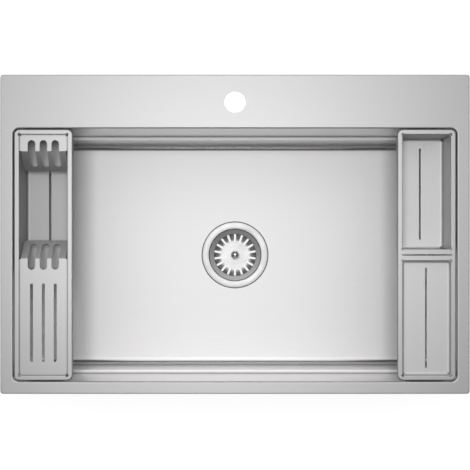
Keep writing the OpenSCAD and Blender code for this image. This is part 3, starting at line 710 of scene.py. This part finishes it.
def brushed_sheet(name, colour, roughness, wall_roughness, run_axis, turn_axis):
    """Hairline-brushed stainless sheet, whose walls and bends may be smoother than level faces."""
    material, tree, shader = new_material(name, 1.0)
    colour = tuple(colour)
    turned_face = maths(tree, "GREATER_THAN", normal_share(tree, run_axis), TURNED_FROM)
    fine, coarse = hairlines(tree, run_axis, turn_axis, turned_face)
    lines = maths(tree, "ADD", *(maths(tree, "MULTIPLY", each, share)
                                 for each, share in zip((fine, coarse), LINE_SHARES)))
    brushed = shade_between(tree, ranged(tree, lines, 0.0, 1.0), tinted(colour, LINE_TINT), colour)
    # The brushed colour gets painted shade in tight inner corners
    link(tree, creased(tree, brushed), shader.inputs["Base Color"])
    finish = ranged(tree, normal_share(tree, "Z"), wall_roughness, roughness, LEVEL_FROM, LEVEL_TO)
    grain = ranged(tree, lines, -steel().grain, steel().grain)
    link(tree, maths(tree, "ADD", finish, grain), shader.inputs["Roughness"])
    stretched(tree, shader, run_axis, turn_axis, turned_face)
    bumped(tree, shader, fine, LINE_BUMP, LINE_DEPTH)
    return material


def satin_bowl(name):
    """The bowl's sheet: satin inside, with the duller mill finish outside."""
    values = steel()
    material = brushed_sheet(name, values.bowl_colour, values.bowl_roughness,
                             values.wall_roughness, "X", "Y")
    tree = material.node_tree
    shader = tree.nodes["Principled BSDF"]
    skin = outer_skin(tree, bowl_low, bowl_high)
    for socket_name, outside in (("Base Color", (*values.skin_colour, 1.0)),
                                 ("Roughness", values.skin_roughness)):
        socket = shader.inputs[socket_name]
        inside = socket.links[0].from_socket
        kind = "RGBA" if socket_name == "Base Color" else "FLOAT"
        mix = node(tree, "ShaderNodeMix", data_type=kind)
        ends = [end for end in mix.inputs if end.name in ("A", "B") and end.enabled]
        link(tree, skin, mix.inputs["Factor"])
        link(tree, inside, ends[0])
        ends[1].default_value = outside
        link(tree, next(end for end in mix.outputs if end.enabled), socket)
    return material


def ring_lines(tree, spacing):
    """Lathe lines: a value that changes only with the distance from the drain's axis."""
    vector = mapped(tree, (1.0, 1.0, 0.0), place=(-DRAIN.x, -DRAIN.y, 0.0))
    length = node(tree, "ShaderNodeVectorMath", operation="LENGTH")
    link(tree, vector, length.inputs[0])
    texture = node(tree, "ShaderNodeTexNoise", noise_dimensions="1D")
    texture.inputs["Scale"].default_value = 1.0 / spacing
    texture.inputs["Detail"].default_value = NOISE_DETAIL
    link(tree, length.outputs["Value"], texture.inputs["W"])
    return texture.outputs["Fac"]


def spun_steel(name, colour, roughness):
    """Stainless that was spun and polished on a lathe."""
    ring_width, ring_tint, ring_grain = 0.6 * MM, 0.93, 0.04
    cloud_scale, haze_low, haze_high = 25.0, -0.02, 0.04
    bump, depth = 0.12, 0.02 * MM
    material, tree, shader = new_material(name, 1.0)
    rings = ring_lines(tree, ring_width)
    coloured(tree, shader, ranged(tree, rings, 0.0, 1.0), tinted(colour, ring_tint), colour)
    grain = ranged(tree, rings, roughness - ring_grain, roughness + ring_grain)
    haze = ranged(tree, even_noise(tree, cloud_scale), haze_low, haze_high)
    link(tree, maths(tree, "ADD", grain, haze), shader.inputs["Roughness"])
    bumped(tree, shader, rings, bump, depth)
    return material


def plated_chrome(name):
    """Bright plating with the faintest polishing haze."""
    haze_scale, haze_tint, smoothest, roughest = 300.0, 0.97, 0.05, 0.10
    bump, depth = 0.03, 0.05 * MM
    material, tree, shader = new_material(name, 1.0)
    colour = tuple(steel().chrome_colour)
    haze = even_noise(tree, haze_scale)
    coloured(tree, shader, ranged(tree, haze, 0.0, 1.0), tinted(colour, haze_tint), colour)
    link(tree, ranged(tree, haze, smoothest, roughest), shader.inputs["Roughness"])
    bumped(tree, shader, haze, bump, depth)
    return material


def zinc_plate(name):
    """Plated clip steel with the patchy crystals of zinc."""
    metallic, crystal_scale, crystal_tint = 0.9, 350.0, 0.82
    smoothest, roughest = 0.30, 0.42
    grit_scale, grit_low, grit_high = 2500.0, -0.03, 0.05
    bump, depth = 0.15, 0.04 * MM
    material, tree, shader = new_material(name, metallic)
    colour = tuple(steel().zinc_colour)
    crystals = node(tree, "ShaderNodeTexVoronoi")
    crystals.inputs["Scale"].default_value = 1.0
    link(tree, mapped(tree, (crystal_scale,) * 3), crystals.inputs["Vector"])
    patches = node(tree, "ShaderNodeSeparateColor")
    link(tree, crystals.outputs["Color"], patches.inputs["Color"])
    grit = even_noise(tree, grit_scale)
    coloured(tree, shader, patches.outputs["Red"], tinted(colour, crystal_tint), colour)
    patchy = ranged(tree, patches.outputs["Green"], smoothest, roughest, 0.0, 1.0)
    gritty = ranged(tree, grit, grit_low, grit_high)
    link(tree, maths(tree, "ADD", patchy, gritty), shader.inputs["Roughness"])
    bumped(tree, shader, grit, bump, depth)
    return material


def soft_stuff(name):
    """Rubber, foam, silicone or moulded plastic, by the soft finish of that name."""
    blotch_share, mix_share, bump = 0.04, 0.5, 0.5
    roughness_reach = 0.08
    soft = SOFT_FINISHES[name]
    material, tree, shader = new_material(name)
    fine = even_noise(tree, 1.0 / soft.grain, detail=4.0, roughness=SHARP_NOISE_ROUGHNESS)
    blotches = even_noise(tree, blotch_share / soft.grain, detail=2.0)
    mixed = maths(tree, "MULTIPLY", maths(tree, "ADD", fine, blotches), mix_share)
    coloured(tree, shader, ranged(tree, mixed, 0.0, 1.0), soft.dark, soft.light)
    link(tree, ranged(tree, fine, soft.roughness - roughness_reach,
                      soft.roughness + roughness_reach), shader.inputs["Roughness"])
    shader.inputs["Sheen Weight"].default_value = soft.sheen
    bumped(tree, shader, fine, bump, soft.depth)
    return material


def pale_floor(name, colour, white):
    """A floor that the camera and mirrors see almost white, and that still takes a shadow."""
    cloud_scale, cloud_tint, roughness = 3.0, 0.98, 0.9
    material, tree, shader = new_material(name)
    texture = even_noise(tree, cloud_scale, detail=2.0)
    coloured(tree, shader, texture, tinted(colour, cloud_tint), colour)
    shader.inputs["Roughness"].default_value = roughness
    shader.inputs["Specular IOR Level"].default_value = 0.0
    shader.inputs["Emission Color"].default_value = (1.0, 1.0, 1.0, 1.0)
    path = node(tree, "ShaderNodeLightPath")
    seen = maths(tree, "MAXIMUM", path.outputs["Is Camera Ray"], path.outputs["Is Glossy Ray"])
    seen = maths(tree, "MAXIMUM", seen, path.outputs["Is Transmission Ray"])
    link(tree, maths(tree, "MULTIPLY", seen, white), shader.inputs["Emission Strength"])
    return material


# The stage

def soft_sky():
    """A soft studio sky: bright overhead and behind the sink, dimmer in front and at the sides."""
    values = studio()
    world = bpy.data.worlds.new("soft_sky")
    bpy.context.scene.world = world
    world.use_nodes = True
    tree = world.node_tree
    background = tree.nodes["Background"]
    background.inputs["Color"].default_value = (*values.sky_colour, 1.0)
    coordinates = node(tree, "ShaderNodeTexCoord")
    split = node(tree, "ShaderNodeSeparateXYZ")
    link(tree, coordinates.outputs["Generated"], split.inputs["Vector"])
    aside = maths(tree, "SUBTRACT", split.outputs["X"], values.glow_aside)
    aside = maths(tree, "ABSOLUTE", aside)
    across = ranged(tree, aside, 1.0, values.sky_side, 0.0, values.glow_reach, "SMOOTHSTEP")
    along = ranged(tree, split.outputs["Y"], values.sky_front, values.sky_back,
                   values.sky_turn_front, values.sky_turn_back, "SMOOTHSTEP")
    link(tree, maths(tree, "MULTIPLY", across, along), background.inputs["Strength"])


def soft_box():
    """A square lamp that looks straight down."""
    values = studio()
    lamp = bpy.data.lights.new("soft_box", "AREA")
    lamp.shape = "SQUARE"
    lamp.size = values.box_width
    lamp.energy = values.box_light
    holder = bpy.data.objects.new("soft_box", lamp)
    holder.location = values.box_place
    bpy.context.scene.collection.objects.link(holder)


class SINK_OT_camera(bpy.types.Operator):
    """Puts the camera straight above the sink"""
    bl_idname = "sink.camera"
    bl_label = "Camera"

    def execute(self, context):
        values = studio()
        camera = bpy.data.cameras.new("camera_above")
        camera.sensor_width = values.sensor_width
        camera.lens = values.sensor_width * values.camera_height / DECK_WIDTH
        camera.shift_y = values.frame_shift
        holder = bpy.data.objects.new("camera_above", camera)
        holder.location = (0.0, -values.camera_forward, DECK_TOP + values.camera_height)
        context.scene.collection.objects.link(holder)
        context.scene.camera = holder
        return {"FINISHED"}


class SINK_OT_stage(bpy.types.Operator):
    """Adds the pale floor, the soft box and the sky"""
    bl_idname = "sink.stage"
    bl_label = "Stage"

    sides = 64
    floor_reach = 30.0
    rim_height = 10.0

    def floor(self):
        """A wide round floor with an upright rim, so that a low view shows no horizon."""
        deselect_all()
        bpy.ops.mesh.primitive_circle_add(
            vertices=self.sides, radius=self.floor_reach, fill_type="NGON",
            location=(0, 0, FLOOR_LEVEL))
        floor = settle("floor")
        edit("EDGE")
        bpy.ops.mesh.select_all(action="SELECT")
        bpy.ops.mesh.extrude_edges_move(
            TRANSFORM_OT_translate={"value": (0, 0, self.rim_height)})
        leave_edit()
        return floor

    def execute(self, context):
        values = studio()
        context.scene.view_settings.view_transform = "Standard"
        soft_sky()
        floor = self.floor()
        floor.data.materials.append(
            pale_floor("pale_floor", tuple(values.floor_colour), values.floor_white))
        soft_box()
        return {"FINISHED"}


# Sheet metal

class SINK_OT_sheets(bpy.types.Operator):
    """Brushes the deck and the bowl"""
    bl_idname = "sink.sheets"
    bl_label = "Deck and bowl"

    def execute(self, context):
        values = steel()
        finish_nodes(brushed_sheet("deck_brushed", values.deck_colour, values.deck_roughness,
                                   values.deck_roughness, "X", "Y"), "deck_plate")
        finish_nodes(satin_bowl("bowl_satin"), "bowl_shell")
        return {"FINISHED"}


class SINK_OT_trays(bpy.types.Operator):
    """Brushes the two organiser trays along their length"""
    bl_idname = "sink.trays"
    bl_label = "Organiser trays"

    def execute(self, context):
        values = steel()
        for name, colour, roughness, nodes in (
                ("tray_brushed", values.tray_colour, values.tray_roughness,
                 ("left_tray_top", "left_tray_legs", "right_tray_top", "right_tray_legs")),
                ("trough_satin", values.trough_colour, values.well_roughness,
                 ("left_tray_trough",)),
                ("well_satin", values.well_colour, values.well_roughness,
                 ("right_tray_deep_well", "right_tray_shallow_well"))):
            finish_nodes(brushed_sheet(name, colour, roughness, roughness, "Y", "Z"), *nodes)
        return {"FINISHED"}


class SINK_OT_tray_shoes(bpy.types.Operator):
    """Moulds a silicone shoe on each tray leg"""
    bl_idname = "sink.tray_shoes"
    bl_label = "Tray shoes"

    wall = 1.0 * MM
    sole = 1.5 * MM
    rounding = 0.4 * MM

    def shoe(self, name, low, high):
        deselect_all()
        bpy.ops.mesh.primitive_cube_add(size=1.0, location=(low + high) / 2, scale=high - low)
        piece = settle(name)
        edit("FACE")
        pick_faces(lambda centre, normal: normal.z > ALONG)
        bpy.ops.mesh.inset(thickness=self.wall)
        depth = high.z - low.z - self.sole
        bpy.ops.mesh.extrude_region_move(TRANSFORM_OT_translate={"value": (0, 0, -depth)})
        leave_edit()
        add_modifier(piece, "BEVEL", width=self.rounding, segments=3, limit_method="ANGLE")
        smooth(piece)
        return piece

    def execute(self, context):
        silicone = soft_stuff("shoe_silicone")
        for side in ("left_tray", "right_tray"):
            node_name = side + "_feet"
            shoes = [self.shoe("shoe", low, high) for low, high in solid_boxes(node_name)]
            finish_piece(join(side + "_shoes", shoes), silicone, "foot_silicone", side, node_name)
        return {"FINISHED"}


# The drain

class SINK_OT_strainer(bpy.types.Operator):
    """Turns the strainer's body and cuts its threads"""
    bl_idname = "sink.strainer"
    bl_label = "Strainer body"

    sides = 128
    thread_steps = 96
    edge = 0.45 * MM
    fillet = 0.8 * MM
    chamfer = 0.8 * MM
    # Bevels at the throat's top and where its flare meets the flange
    throat_bevel = 0.1 * MM
    flare_bevel = 0.15 * MM

    def outline(self):
        """Section of the body: flange, throat, seat and sleeve."""
        values = drain()
        top, end = body_high.z, body_low.z
        rim = (body_high.x - body_low.x) / 2
        thick, bore, throat = values.flange_thickness, values.sleeve_bore, values.throat_radius
        seat = top - values.seat_depth
        nut_root = values.nut_thread - values.thread_depth
        trap_root = values.trap_thread - values.thread_depth
        run_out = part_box("lock_nut")[0].z - values.nut_run_out
        cup = throat + thick
        flare = values.throat_flare
        # How far the outer side of the slanted flare lies beyond the inner one
        slant = thick * (math.sqrt(2) - 1)
        return [
            (throat, top - flare - self.edge), (throat + self.throat_bevel, top - flare),
            (throat + flare, top - self.flare_bevel), (throat + flare + self.edge, top),
            *arc(rim - self.edge, top - self.edge, self.edge, 90, -90),
            (cup + flare + slant, top - thick),
            (cup, top - flare - slant), (cup, seat - thick), (nut_root, seat - thick),
            (nut_root, run_out), (trap_root, run_out), (trap_root, end + self.chamfer),
            (trap_root - self.chamfer / 2, end), (bore, end), (bore, seat - self.edge),
            (bore + self.edge, seat),
            *arc(throat - self.fillet, seat + self.fillet, self.fillet, -90, 0),
        ]

    def execute(self, context):
        values = drain()
        cup_foot = body_high.z - values.seat_depth - values.flange_thickness
        run_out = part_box("lock_nut")[0].z - values.nut_run_out
        body = turned("waste_body", self.outline(), self.sides)
        ridges = [helical_ridge(name, DRAIN, crest - values.thread_depth, crest, low, high,
                                values.thread_pitch, self.thread_steps)
                  for name, crest, low, high in (
                      ("nut_ridge", values.nut_thread, run_out, cup_foot),
                      ("trap_ridge", values.trap_thread, body_low.z + self.chamfer, run_out))]
        piece = join("strainer_waste", [body, *ridges])
        spun = spun_steel("strainer_spun", tuple(steel().strainer_colour),
                          steel().strainer_roughness)
        finish_piece(piece, spun, "strainer_steel", "sink", "strainer_body")
        return {"FINISHED"}


def ring_sizes(node_name):
    """(lowest level, highest level, inner radius, outer radius) of a ring round the drain."""
    low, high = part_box(node_name)
    reach = [math.hypot(v.co.x - DRAIN.x, v.co.y - DRAIN.y)
             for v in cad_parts[node_name].data.vertices]
    return low.z, high.z, min(reach), max(reach)


class SINK_OT_drain_seals(bpy.types.Operator):
    """Moulds the gasket, the washer, the slip ring and the basket's sealing ring"""
    bl_idname = "sink.drain_seals"
    bl_label = "Drain seals"

    sides = 128
    # How far each ring's edges are rounded
    rounding = {"basket_ring": 0.35 * MM, "rubber_washer": 0.7 * MM,
                "flange_gasket": 0.15 * MM, "slip_ring": 0.2 * MM}
    # How far the sealing ring's inner edge is below its outer edge
    ring_fall = 1.5 * MM
    # How far the pressed gasket swells out from under the flange
    swell = 2.2 * MM

    def ring(self, node_name, fall=0.0, swell=0.0):
        low, high, inner, outer = ring_sizes(node_name)
        outer += swell
        outline = [(inner, low), (outer, low), (outer, high), (inner, high - fall)]
        piece = turned(node_name + "_moulded", outline, self.sides)
        add_modifier(piece, "BEVEL", width=self.rounding[node_name], segments=3,
                     limit_method="ANGLE")
        smooth(piece)
        return piece

    def execute(self, context):
        rubber = soft_stuff("drain_rubber")
        fibre = soft_stuff("slip_fibre")
        finish_piece(self.ring("basket_ring", fall=self.ring_fall), rubber, "drain_rubber",
                     "strainer_basket", "basket_ring")
        finish_piece(self.ring("rubber_washer"), rubber, "drain_rubber", "sink", "rubber_washer")
        finish_piece(self.ring("flange_gasket", swell=self.swell), rubber, "drain_rubber",
                     "sink", "flange_gasket")
        finish_piece(self.ring("slip_ring"), fibre, "nut_plastic", "sink", "slip_ring")
        return {"FINISHED"}


class SINK_OT_lock_nut(bpy.types.Operator):
    """Moulds the lock nut with its grip lugs"""
    bl_idname = "sink.lock_nut"
    bl_label = "Lock nut"

    sides = 120
    lugs = 8
    lug_height = 9.0 * MM
    lug_reach = 3.0 * MM
    lug_half_angle = 6.0
    rounding = 0.7 * MM

    def on_lug(self, centre):
        angle = math.degrees(math.atan2(centre.y - DRAIN.y, centre.x - DRAIN.x))
        between = 360 / self.lugs
        return abs((angle + between / 2) % between - between / 2) < self.lug_half_angle

    def execute(self, context):
        low, high, inner, reach = ring_sizes("lock_nut")
        outer = (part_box("lock_nut")[1].x - DRAIN.x) - self.lug_reach
        deselect_all()
        bpy.ops.mesh.primitive_cylinder_add(
            vertices=self.sides, radius=outer, depth=high - low,
            location=(DRAIN.x, DRAIN.y, (low + high) / 2))
        piece = settle("lock_nut_moulded")
        edit("FACE")
        pick_faces(lambda centre, normal: abs(normal.z) > ALONG)
        bpy.ops.mesh.inset(thickness=outer - inner)
        bpy.ops.mesh.bridge_edge_loops()
        bpy.ops.mesh.select_all(action="SELECT")
        bpy.ops.mesh.bisect(plane_co=(0, 0, low + self.lug_height), plane_no=(0, 0, 1))
        middle = (inner + outer) / 2
        pick_faces(lambda centre, normal: abs(normal.z) < ACROSS
                   and centre.z < low + self.lug_height
                   and (centre.xy - DRAIN.xy).length > middle and self.on_lug(centre))
        bpy.ops.mesh.extrude_region_shrink_fatten(
            TRANSFORM_OT_shrink_fatten={"value": self.lug_reach})
        tidy_normals()
        leave_edit()
        add_modifier(piece, "BEVEL", width=self.rounding, segments=2, limit_method="ANGLE")
        smooth(piece)
        finish_piece(piece, soft_stuff("nut_plastic"), "nut_plastic", "sink", "lock_nut")
        return {"FINISHED"}


class SINK_OT_basket(bpy.types.Operator):
    """Finishes the strainer basket and turns its knob and post"""
    bl_idname = "sink.basket"
    bl_label = "Strainer basket"

    sheet = 0.8 * MM
    knob_sides = 64
    ball_steps = 28
    neck = 3.1 * MM
    neck_angle = -58
    neck_height = 0.3 * MM
    stem_sides = 48
    post = 2.5 * MM
    post_bevel = 0.4 * MM
    collar = 5.0 * MM
    collar_edge = 0.5 * MM
    collar_height = 2.2 * MM
    collar_turn = 15
    nut_bevel = 0.35 * MM

    def knob(self):
        """A ball that draws in to a short neck."""
        low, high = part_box("basket_knob")
        radius = (high.x - low.x) / 2
        centre = (low.z + high.z) / 2
        ball = arc(0.0, centre, radius, self.neck_angle, 90, self.ball_steps)
        outline = [(0.0, low.z), (self.neck, low.z), (self.neck, low.z + self.neck_height)] + ball
        outline[-1] = (0.0, centre + radius)
        return turned("knob_turned", outline, self.knob_sides, closed=False)

    def stem(self):
        """The post with its flared collar, which stands on the basket's flat."""
        low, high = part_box("basket_post")
        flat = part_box("basket")[0].z + self.sheet
        flare = [(self.post + (self.collar - self.post) * (1 - math.sin(a)),
                  flat + self.collar_edge + self.collar_height * (1 - math.cos(a)))
                 for a in map(math.radians, range(0, 90 + self.collar_turn, self.collar_turn))]
        outline = [(0.0, low.z), (self.post - self.post_bevel, low.z),
                   (self.post, low.z + self.post_bevel),
                   (self.post, flat), (self.collar, flat), *flare,
                   (self.post, high.z), (0.0, high.z)]
        return turned("stem_turned", outline, self.stem_sides, closed=False)

    def execute(self, context):
        finish_nodes(spun_steel("basket_spun", tuple(steel().basket_colour),
                                steel().basket_roughness), "basket")
        chrome = plated_chrome("knob_chrome")
        finish_piece(self.knob(), chrome, "knob_chrome", "strainer_basket", "basket_knob")
        finish_piece(self.stem(), chrome, "knob_chrome", "strainer_basket", "basket_post")
        nut = softened("post_nut_cut", "post_nut", self.nut_bevel)
        finish_piece(nut, chrome, "knob_chrome", "strainer_basket", "post_nut")
        return {"FINISHED"}


# Under the deck

class SINK_OT_rim_seal(bpy.types.Operator):
    """Lays the foam seal under the deck"""
    bl_idname = "sink.rim_seal"
    bl_label = "Rim seal"

    rounding = 0.45 * MM

    def execute(self, context):
        piece = softened("rim_seal_foam", "rim_seal", self.rounding, segments=3)
        finish_piece(piece, soft_stuff("seal_foam"), "seal_foam", "sink", "rim_seal")
        return {"FINISHED"}


class SINK_OT_sound_pads(bpy.types.Operator):
    """Presses the sound pads under the floor and on the side walls"""
    bl_idname = "sink.sound_pads"
    bl_label = "Sound pads"

    corner = 11.0 * MM
    corner_steps = 6
    fewest_cells = 3
    groove = 1.6 * MM
    edge = 0.4 * MM
    smooth_angle = 30

    def pad(self, width, length, thick):
        """A flat pad at the origin whose pressed face looks up."""
        relief = fixing().pad_relief
        cells = [max(self.fewest_cells, round(side / fixing().pad_cell))
                 for side in (width, length)]
        deselect_all()
        bpy.ops.mesh.primitive_grid_add(x_subdivisions=cells[0], y_subdivisions=cells[1],
                                        size=1.0, location=(0, 0, -thick / 2))
        bpy.context.object.scale = (width, length, 1.0)
        piece = settle("pad")
        edit("VERT")
        mesh = bmesh.from_edit_mesh(piece.data)
        bpy.ops.mesh.select_all(action="DESELECT")
        for vert in mesh.verts:
            vert.select_set(len(vert.link_edges) == 2)
        bmesh.update_edit_mesh(piece.data)
        bpy.ops.mesh.bevel(offset=self.corner, segments=self.corner_steps, affect="VERTICES")
        bpy.ops.mesh.select_all(action="SELECT")
        bpy.ops.mesh.extrude_region_move(
            TRANSFORM_OT_translate={"value": (0, 0, thick - relief)})
        bpy.ops.mesh.select_all(action="SELECT")
        bpy.ops.mesh.normals_make_consistent(inside=False)
        bpy.ops.mesh.select_mode(type="FACE")
        pick_faces(lambda centre, normal: normal.z > ALONG)
        bpy.ops.mesh.inset(thickness=self.groove / 2, use_individual=True)
        bpy.ops.mesh.inset(thickness=self.edge, depth=relief, use_individual=True)
        leave_edit()
        return piece

    def placed(self, piece, low, high, turn):
        """Turns a pad so that it looks outwards, and moves it to its box."""
        piece.rotation_euler = turn
        piece.location = (low + high) / 2
        take(piece)
        bpy.ops.object.transform_apply(location=True, rotation=True, scale=True)
        smooth(piece, self.smooth_angle)
        return piece

    def execute(self, context):
        rubber = soft_stuff("pad_rubber")
        pads = []
        for low, high in solid_boxes("floor_pads"):
            width, length, thick = high - low
            pads.append(self.placed(self.pad(width, length, thick), low, high, (math.pi, 0, 0)))
        finish_piece(join("floor_pads_pressed", pads), rubber, "pad_rubber", "sink", "floor_pads")
        pads = []
        for low, high in solid_boxes("wall_pads"):
            thick, length, width = high - low
            outward = math.copysign(math.pi / 2, low.x)
            pads.append(self.placed(self.pad(width, length, thick), low, high, (0, outward, 0)))
        finish_piece(join("wall_pads_pressed", pads), rubber, "pad_rubber", "sink", "wall_pads")
        return {"FINISHED"}


class SINK_OT_clips(bpy.types.Operator):
    """Makes the clip arms, their screws and the rubber caps"""
    bl_idname = "sink.clips"
    bl_label = "Clips"

    arm_bevel = 0.25 * MM
    head_sides = 36
    head_chamfer = 0.35 * MM
    # Height of the screw's head, as a share of the thread's diameter
    head_share = 0.7
    socket_sides = 6
    # Radius of the socket's corners, as a share of the thread's radius
    socket_share = 0.85
    thread_depth = 0.45 * MM
    thread_steps = 16
    tip_chamfer = 0.5 * MM
    smooth_angle = 30
    cap_sides = 36
    cap_socket = 1.5 * MM
    cap_round = 0.9 * MM
    cap_steps = 5
    cap_lip = 0.3 * MM
    # How far an end may lie off the ring on which it is looked for
    slack = 0.01 * MM

    def loop_step(self, test, rise, centre, share):
        """Extrudes the ring of edges that passes the test upwards and scales it."""
        pick_edges(test)
        bpy.ops.mesh.extrude_edges_move(TRANSFORM_OT_translate={"value": (0, 0, rise)})
        if share != 1.0:
            bpy.ops.transform.resize(value=(share, share, 1.0), center_override=centre)

    def ring_test(self, axis, level, radius):
        """A test for edges whose ends lie at one level and radius round an axis."""
        def test(*ends):
            return all(abs(end.z - level) < self.slack
                       and abs((end.xy - axis.xy).length - radius) < self.slack for end in ends)
        return test

    def screw(self, low, high, head_height, head_radius):
        """A socket head screw with its head below, threaded up to its tip."""
        axis = (low + high) / 2
        root = fixing().screw_radius - self.thread_depth
        socket_radius = self.socket_share * fixing().screw_radius
        top = low.z + head_height
        start = Vector((axis.x, axis.y, low.z))
        face = head_radius - self.head_chamfer
        deselect_all()
        bpy.ops.mesh.primitive_circle_add(vertices=self.head_sides, radius=face, location=start)
        piece = settle("screw")
        edit("EDGE")
        bpy.ops.mesh.primitive_circle_add(vertices=self.socket_sides, radius=socket_radius,
                                          location=start)
        bpy.ops.mesh.select_all(action="SELECT")
        bpy.ops.mesh.bridge_edge_loops()
        ring = self.ring_test
        self.loop_step(ring(axis, low.z, socket_radius), head_height / 2, start, 1.0)
        pick_edges(ring(axis, low.z + head_height / 2, socket_radius))
        bpy.ops.mesh.edge_face_add()
        self.loop_step(ring(axis, low.z, face), self.head_chamfer, start, head_radius / face)
        self.loop_step(ring(axis, low.z + self.head_chamfer, head_radius),
                       head_height - self.head_chamfer, start, 1.0)
        self.loop_step(ring(axis, top, head_radius), 0.0, start, root / head_radius)
        tip = high.z - self.tip_chamfer
        self.loop_step(ring(axis, top, root), tip - top, start, 1.0)
        self.loop_step(ring(axis, tip, root), self.tip_chamfer, start,
                       (root - self.tip_chamfer) / root)
        pick_edges(ring(axis, high.z, root - self.tip_chamfer))
        bpy.ops.mesh.edge_face_add()
        tidy_normals()
        leave_edit()
        smooth(piece, self.smooth_angle)
        ridge = helical_ridge("screw_ridge", axis, root, fixing().screw_radius, top, tip,
                              fixing().screw_pitch, self.thread_steps)
        return join("screw", [piece, ridge])

    def copies(self, name, first, boxes):
        """Copies of a piece made for the first box, one at every box, joined."""
        origin = boxes[0][0]
        made = [first]
        for low, high in boxes[1:]:
            take(first)
            bpy.ops.object.duplicate()
            copy = bpy.context.object
            copy.location = low - origin
            bpy.ops.object.transform_apply(location=True, rotation=False, scale=False)
            made.append(copy)
        return join(name, made)

    def cap(self, low, high):
        """A moulded cap that sits on the screw's tip."""
        axis = (low + high) / 2
        reach = (high.x - low.x) / 2
        hole, bend = fixing().screw_radius, self.cap_round
        socket = low.z + self.cap_socket
        outline = [(0.0, socket), (hole, socket), (hole, low.z), (reach - self.cap_lip, low.z),
                   (reach, low.z + self.cap_lip),
                   *arc(reach - bend, high.z - bend, bend, 0, 90, self.cap_steps),
                   (0.0, high.z)]
        return turned("cap", outline, self.cap_sides, axis, closed=False)

    def execute(self, context):
        zinc = zinc_plate("clip_zinc")
        arms = softened("clip_arms_pressed", "clip_arms", self.arm_bevel)
        finish_piece(arms, zinc, "clip_steel", "sink", "clip_arms")
        boxes = solid_boxes("clip_screws")
        low, high = boxes[0]
        head_height = self.head_share * 2 * fixing().screw_radius
        screw = self.screw(low, high, head_height, (high.x - low.x) / 2)
        finish_piece(self.copies("clip_screws_cut", screw, boxes), zinc, "clip_steel", "sink",
                     "clip_screws")
        boxes = solid_boxes("clip_caps")
        finish_piece(self.copies("clip_caps_moulded", self.cap(*boxes[0]), boxes),
                     soft_stuff("cap_rubber"), "cap_rubber", "sink", "clip_caps")
        return {"FINISHED"}


class SINK_OT_rails(bpy.types.Operator):
    """Rounds the cut edges of the clip rails"""
    bl_idname = "sink.rails"
    bl_label = "Clip rails"

    rounding = 0.2 * MM

    def execute(self, context):
        zinc = zinc_plate("rail_zinc")
        for side in ("front", "back", "left", "right"):
            node_name = "clip_rail_" + side
            piece = softened(node_name + "_folded", node_name, self.rounding)
            finish_piece(piece, zinc, "clip_steel", "sink", node_name)
        return {"FINISHED"}


OPERATORS = (
    SINK_OT_camera, SINK_OT_stage, SINK_OT_sheets, SINK_OT_trays, SINK_OT_tray_shoes,
    SINK_OT_strainer, SINK_OT_drain_seals, SINK_OT_lock_nut, SINK_OT_basket, SINK_OT_rim_seal,
    SINK_OT_sound_pads, SINK_OT_clips, SINK_OT_rails,
)
GROUPS = (SINK_PG_studio, SINK_PG_steel, SINK_PG_drain, SINK_PG_fixing)


def scene_name(group):
    """The name under which a scene holds a property group."""
    return group.__name__.replace("_PG", "").lower()


class SINK_PT_panel(bpy.types.Panel):
    """Lists the sink's steps in the order in which they run"""
    bl_label = "Kitchen sink"
    bl_idname = "SINK_PT_panel"
    bl_space_type = "VIEW_3D"
    bl_region_type = "UI"
    bl_category = "Sink"

    def draw(self, context):
        column = self.layout.column(align=True)
        for operator in OPERATORS:
            column.operator(operator.bl_idname)
        for group in GROUPS:
            values = getattr(context.scene, scene_name(group))
            box = self.layout.box()
            for name in group.__annotations__:
                box.prop(values, name)


def register():
    for group in GROUPS:
        bpy.utils.register_class(group)
        setattr(bpy.types.Scene, scene_name(group), bpy.props.PointerProperty(type=group))
    for operator in OPERATORS:
        bpy.utils.register_class(operator)
    bpy.utils.register_class(SINK_PT_panel)


def unregister():
    bpy.utils.unregister_class(SINK_PT_panel)
    for operator in reversed(OPERATORS):
        bpy.utils.unregister_class(operator)
    for group in reversed(GROUPS):
        delattr(bpy.types.Scene, scene_name(group))
        bpy.utils.unregister_class(group)


def main():
    register()
    for operator in OPERATORS:
        family, name = operator.bl_idname.split(".")
        result = getattr(getattr(bpy.ops, family), name)()
        if result != {"FINISHED"}:
            raise RuntimeError(operator.bl_label + " couldn't finish")
    deselect_all()


if __name__ == "__main__":
    main()
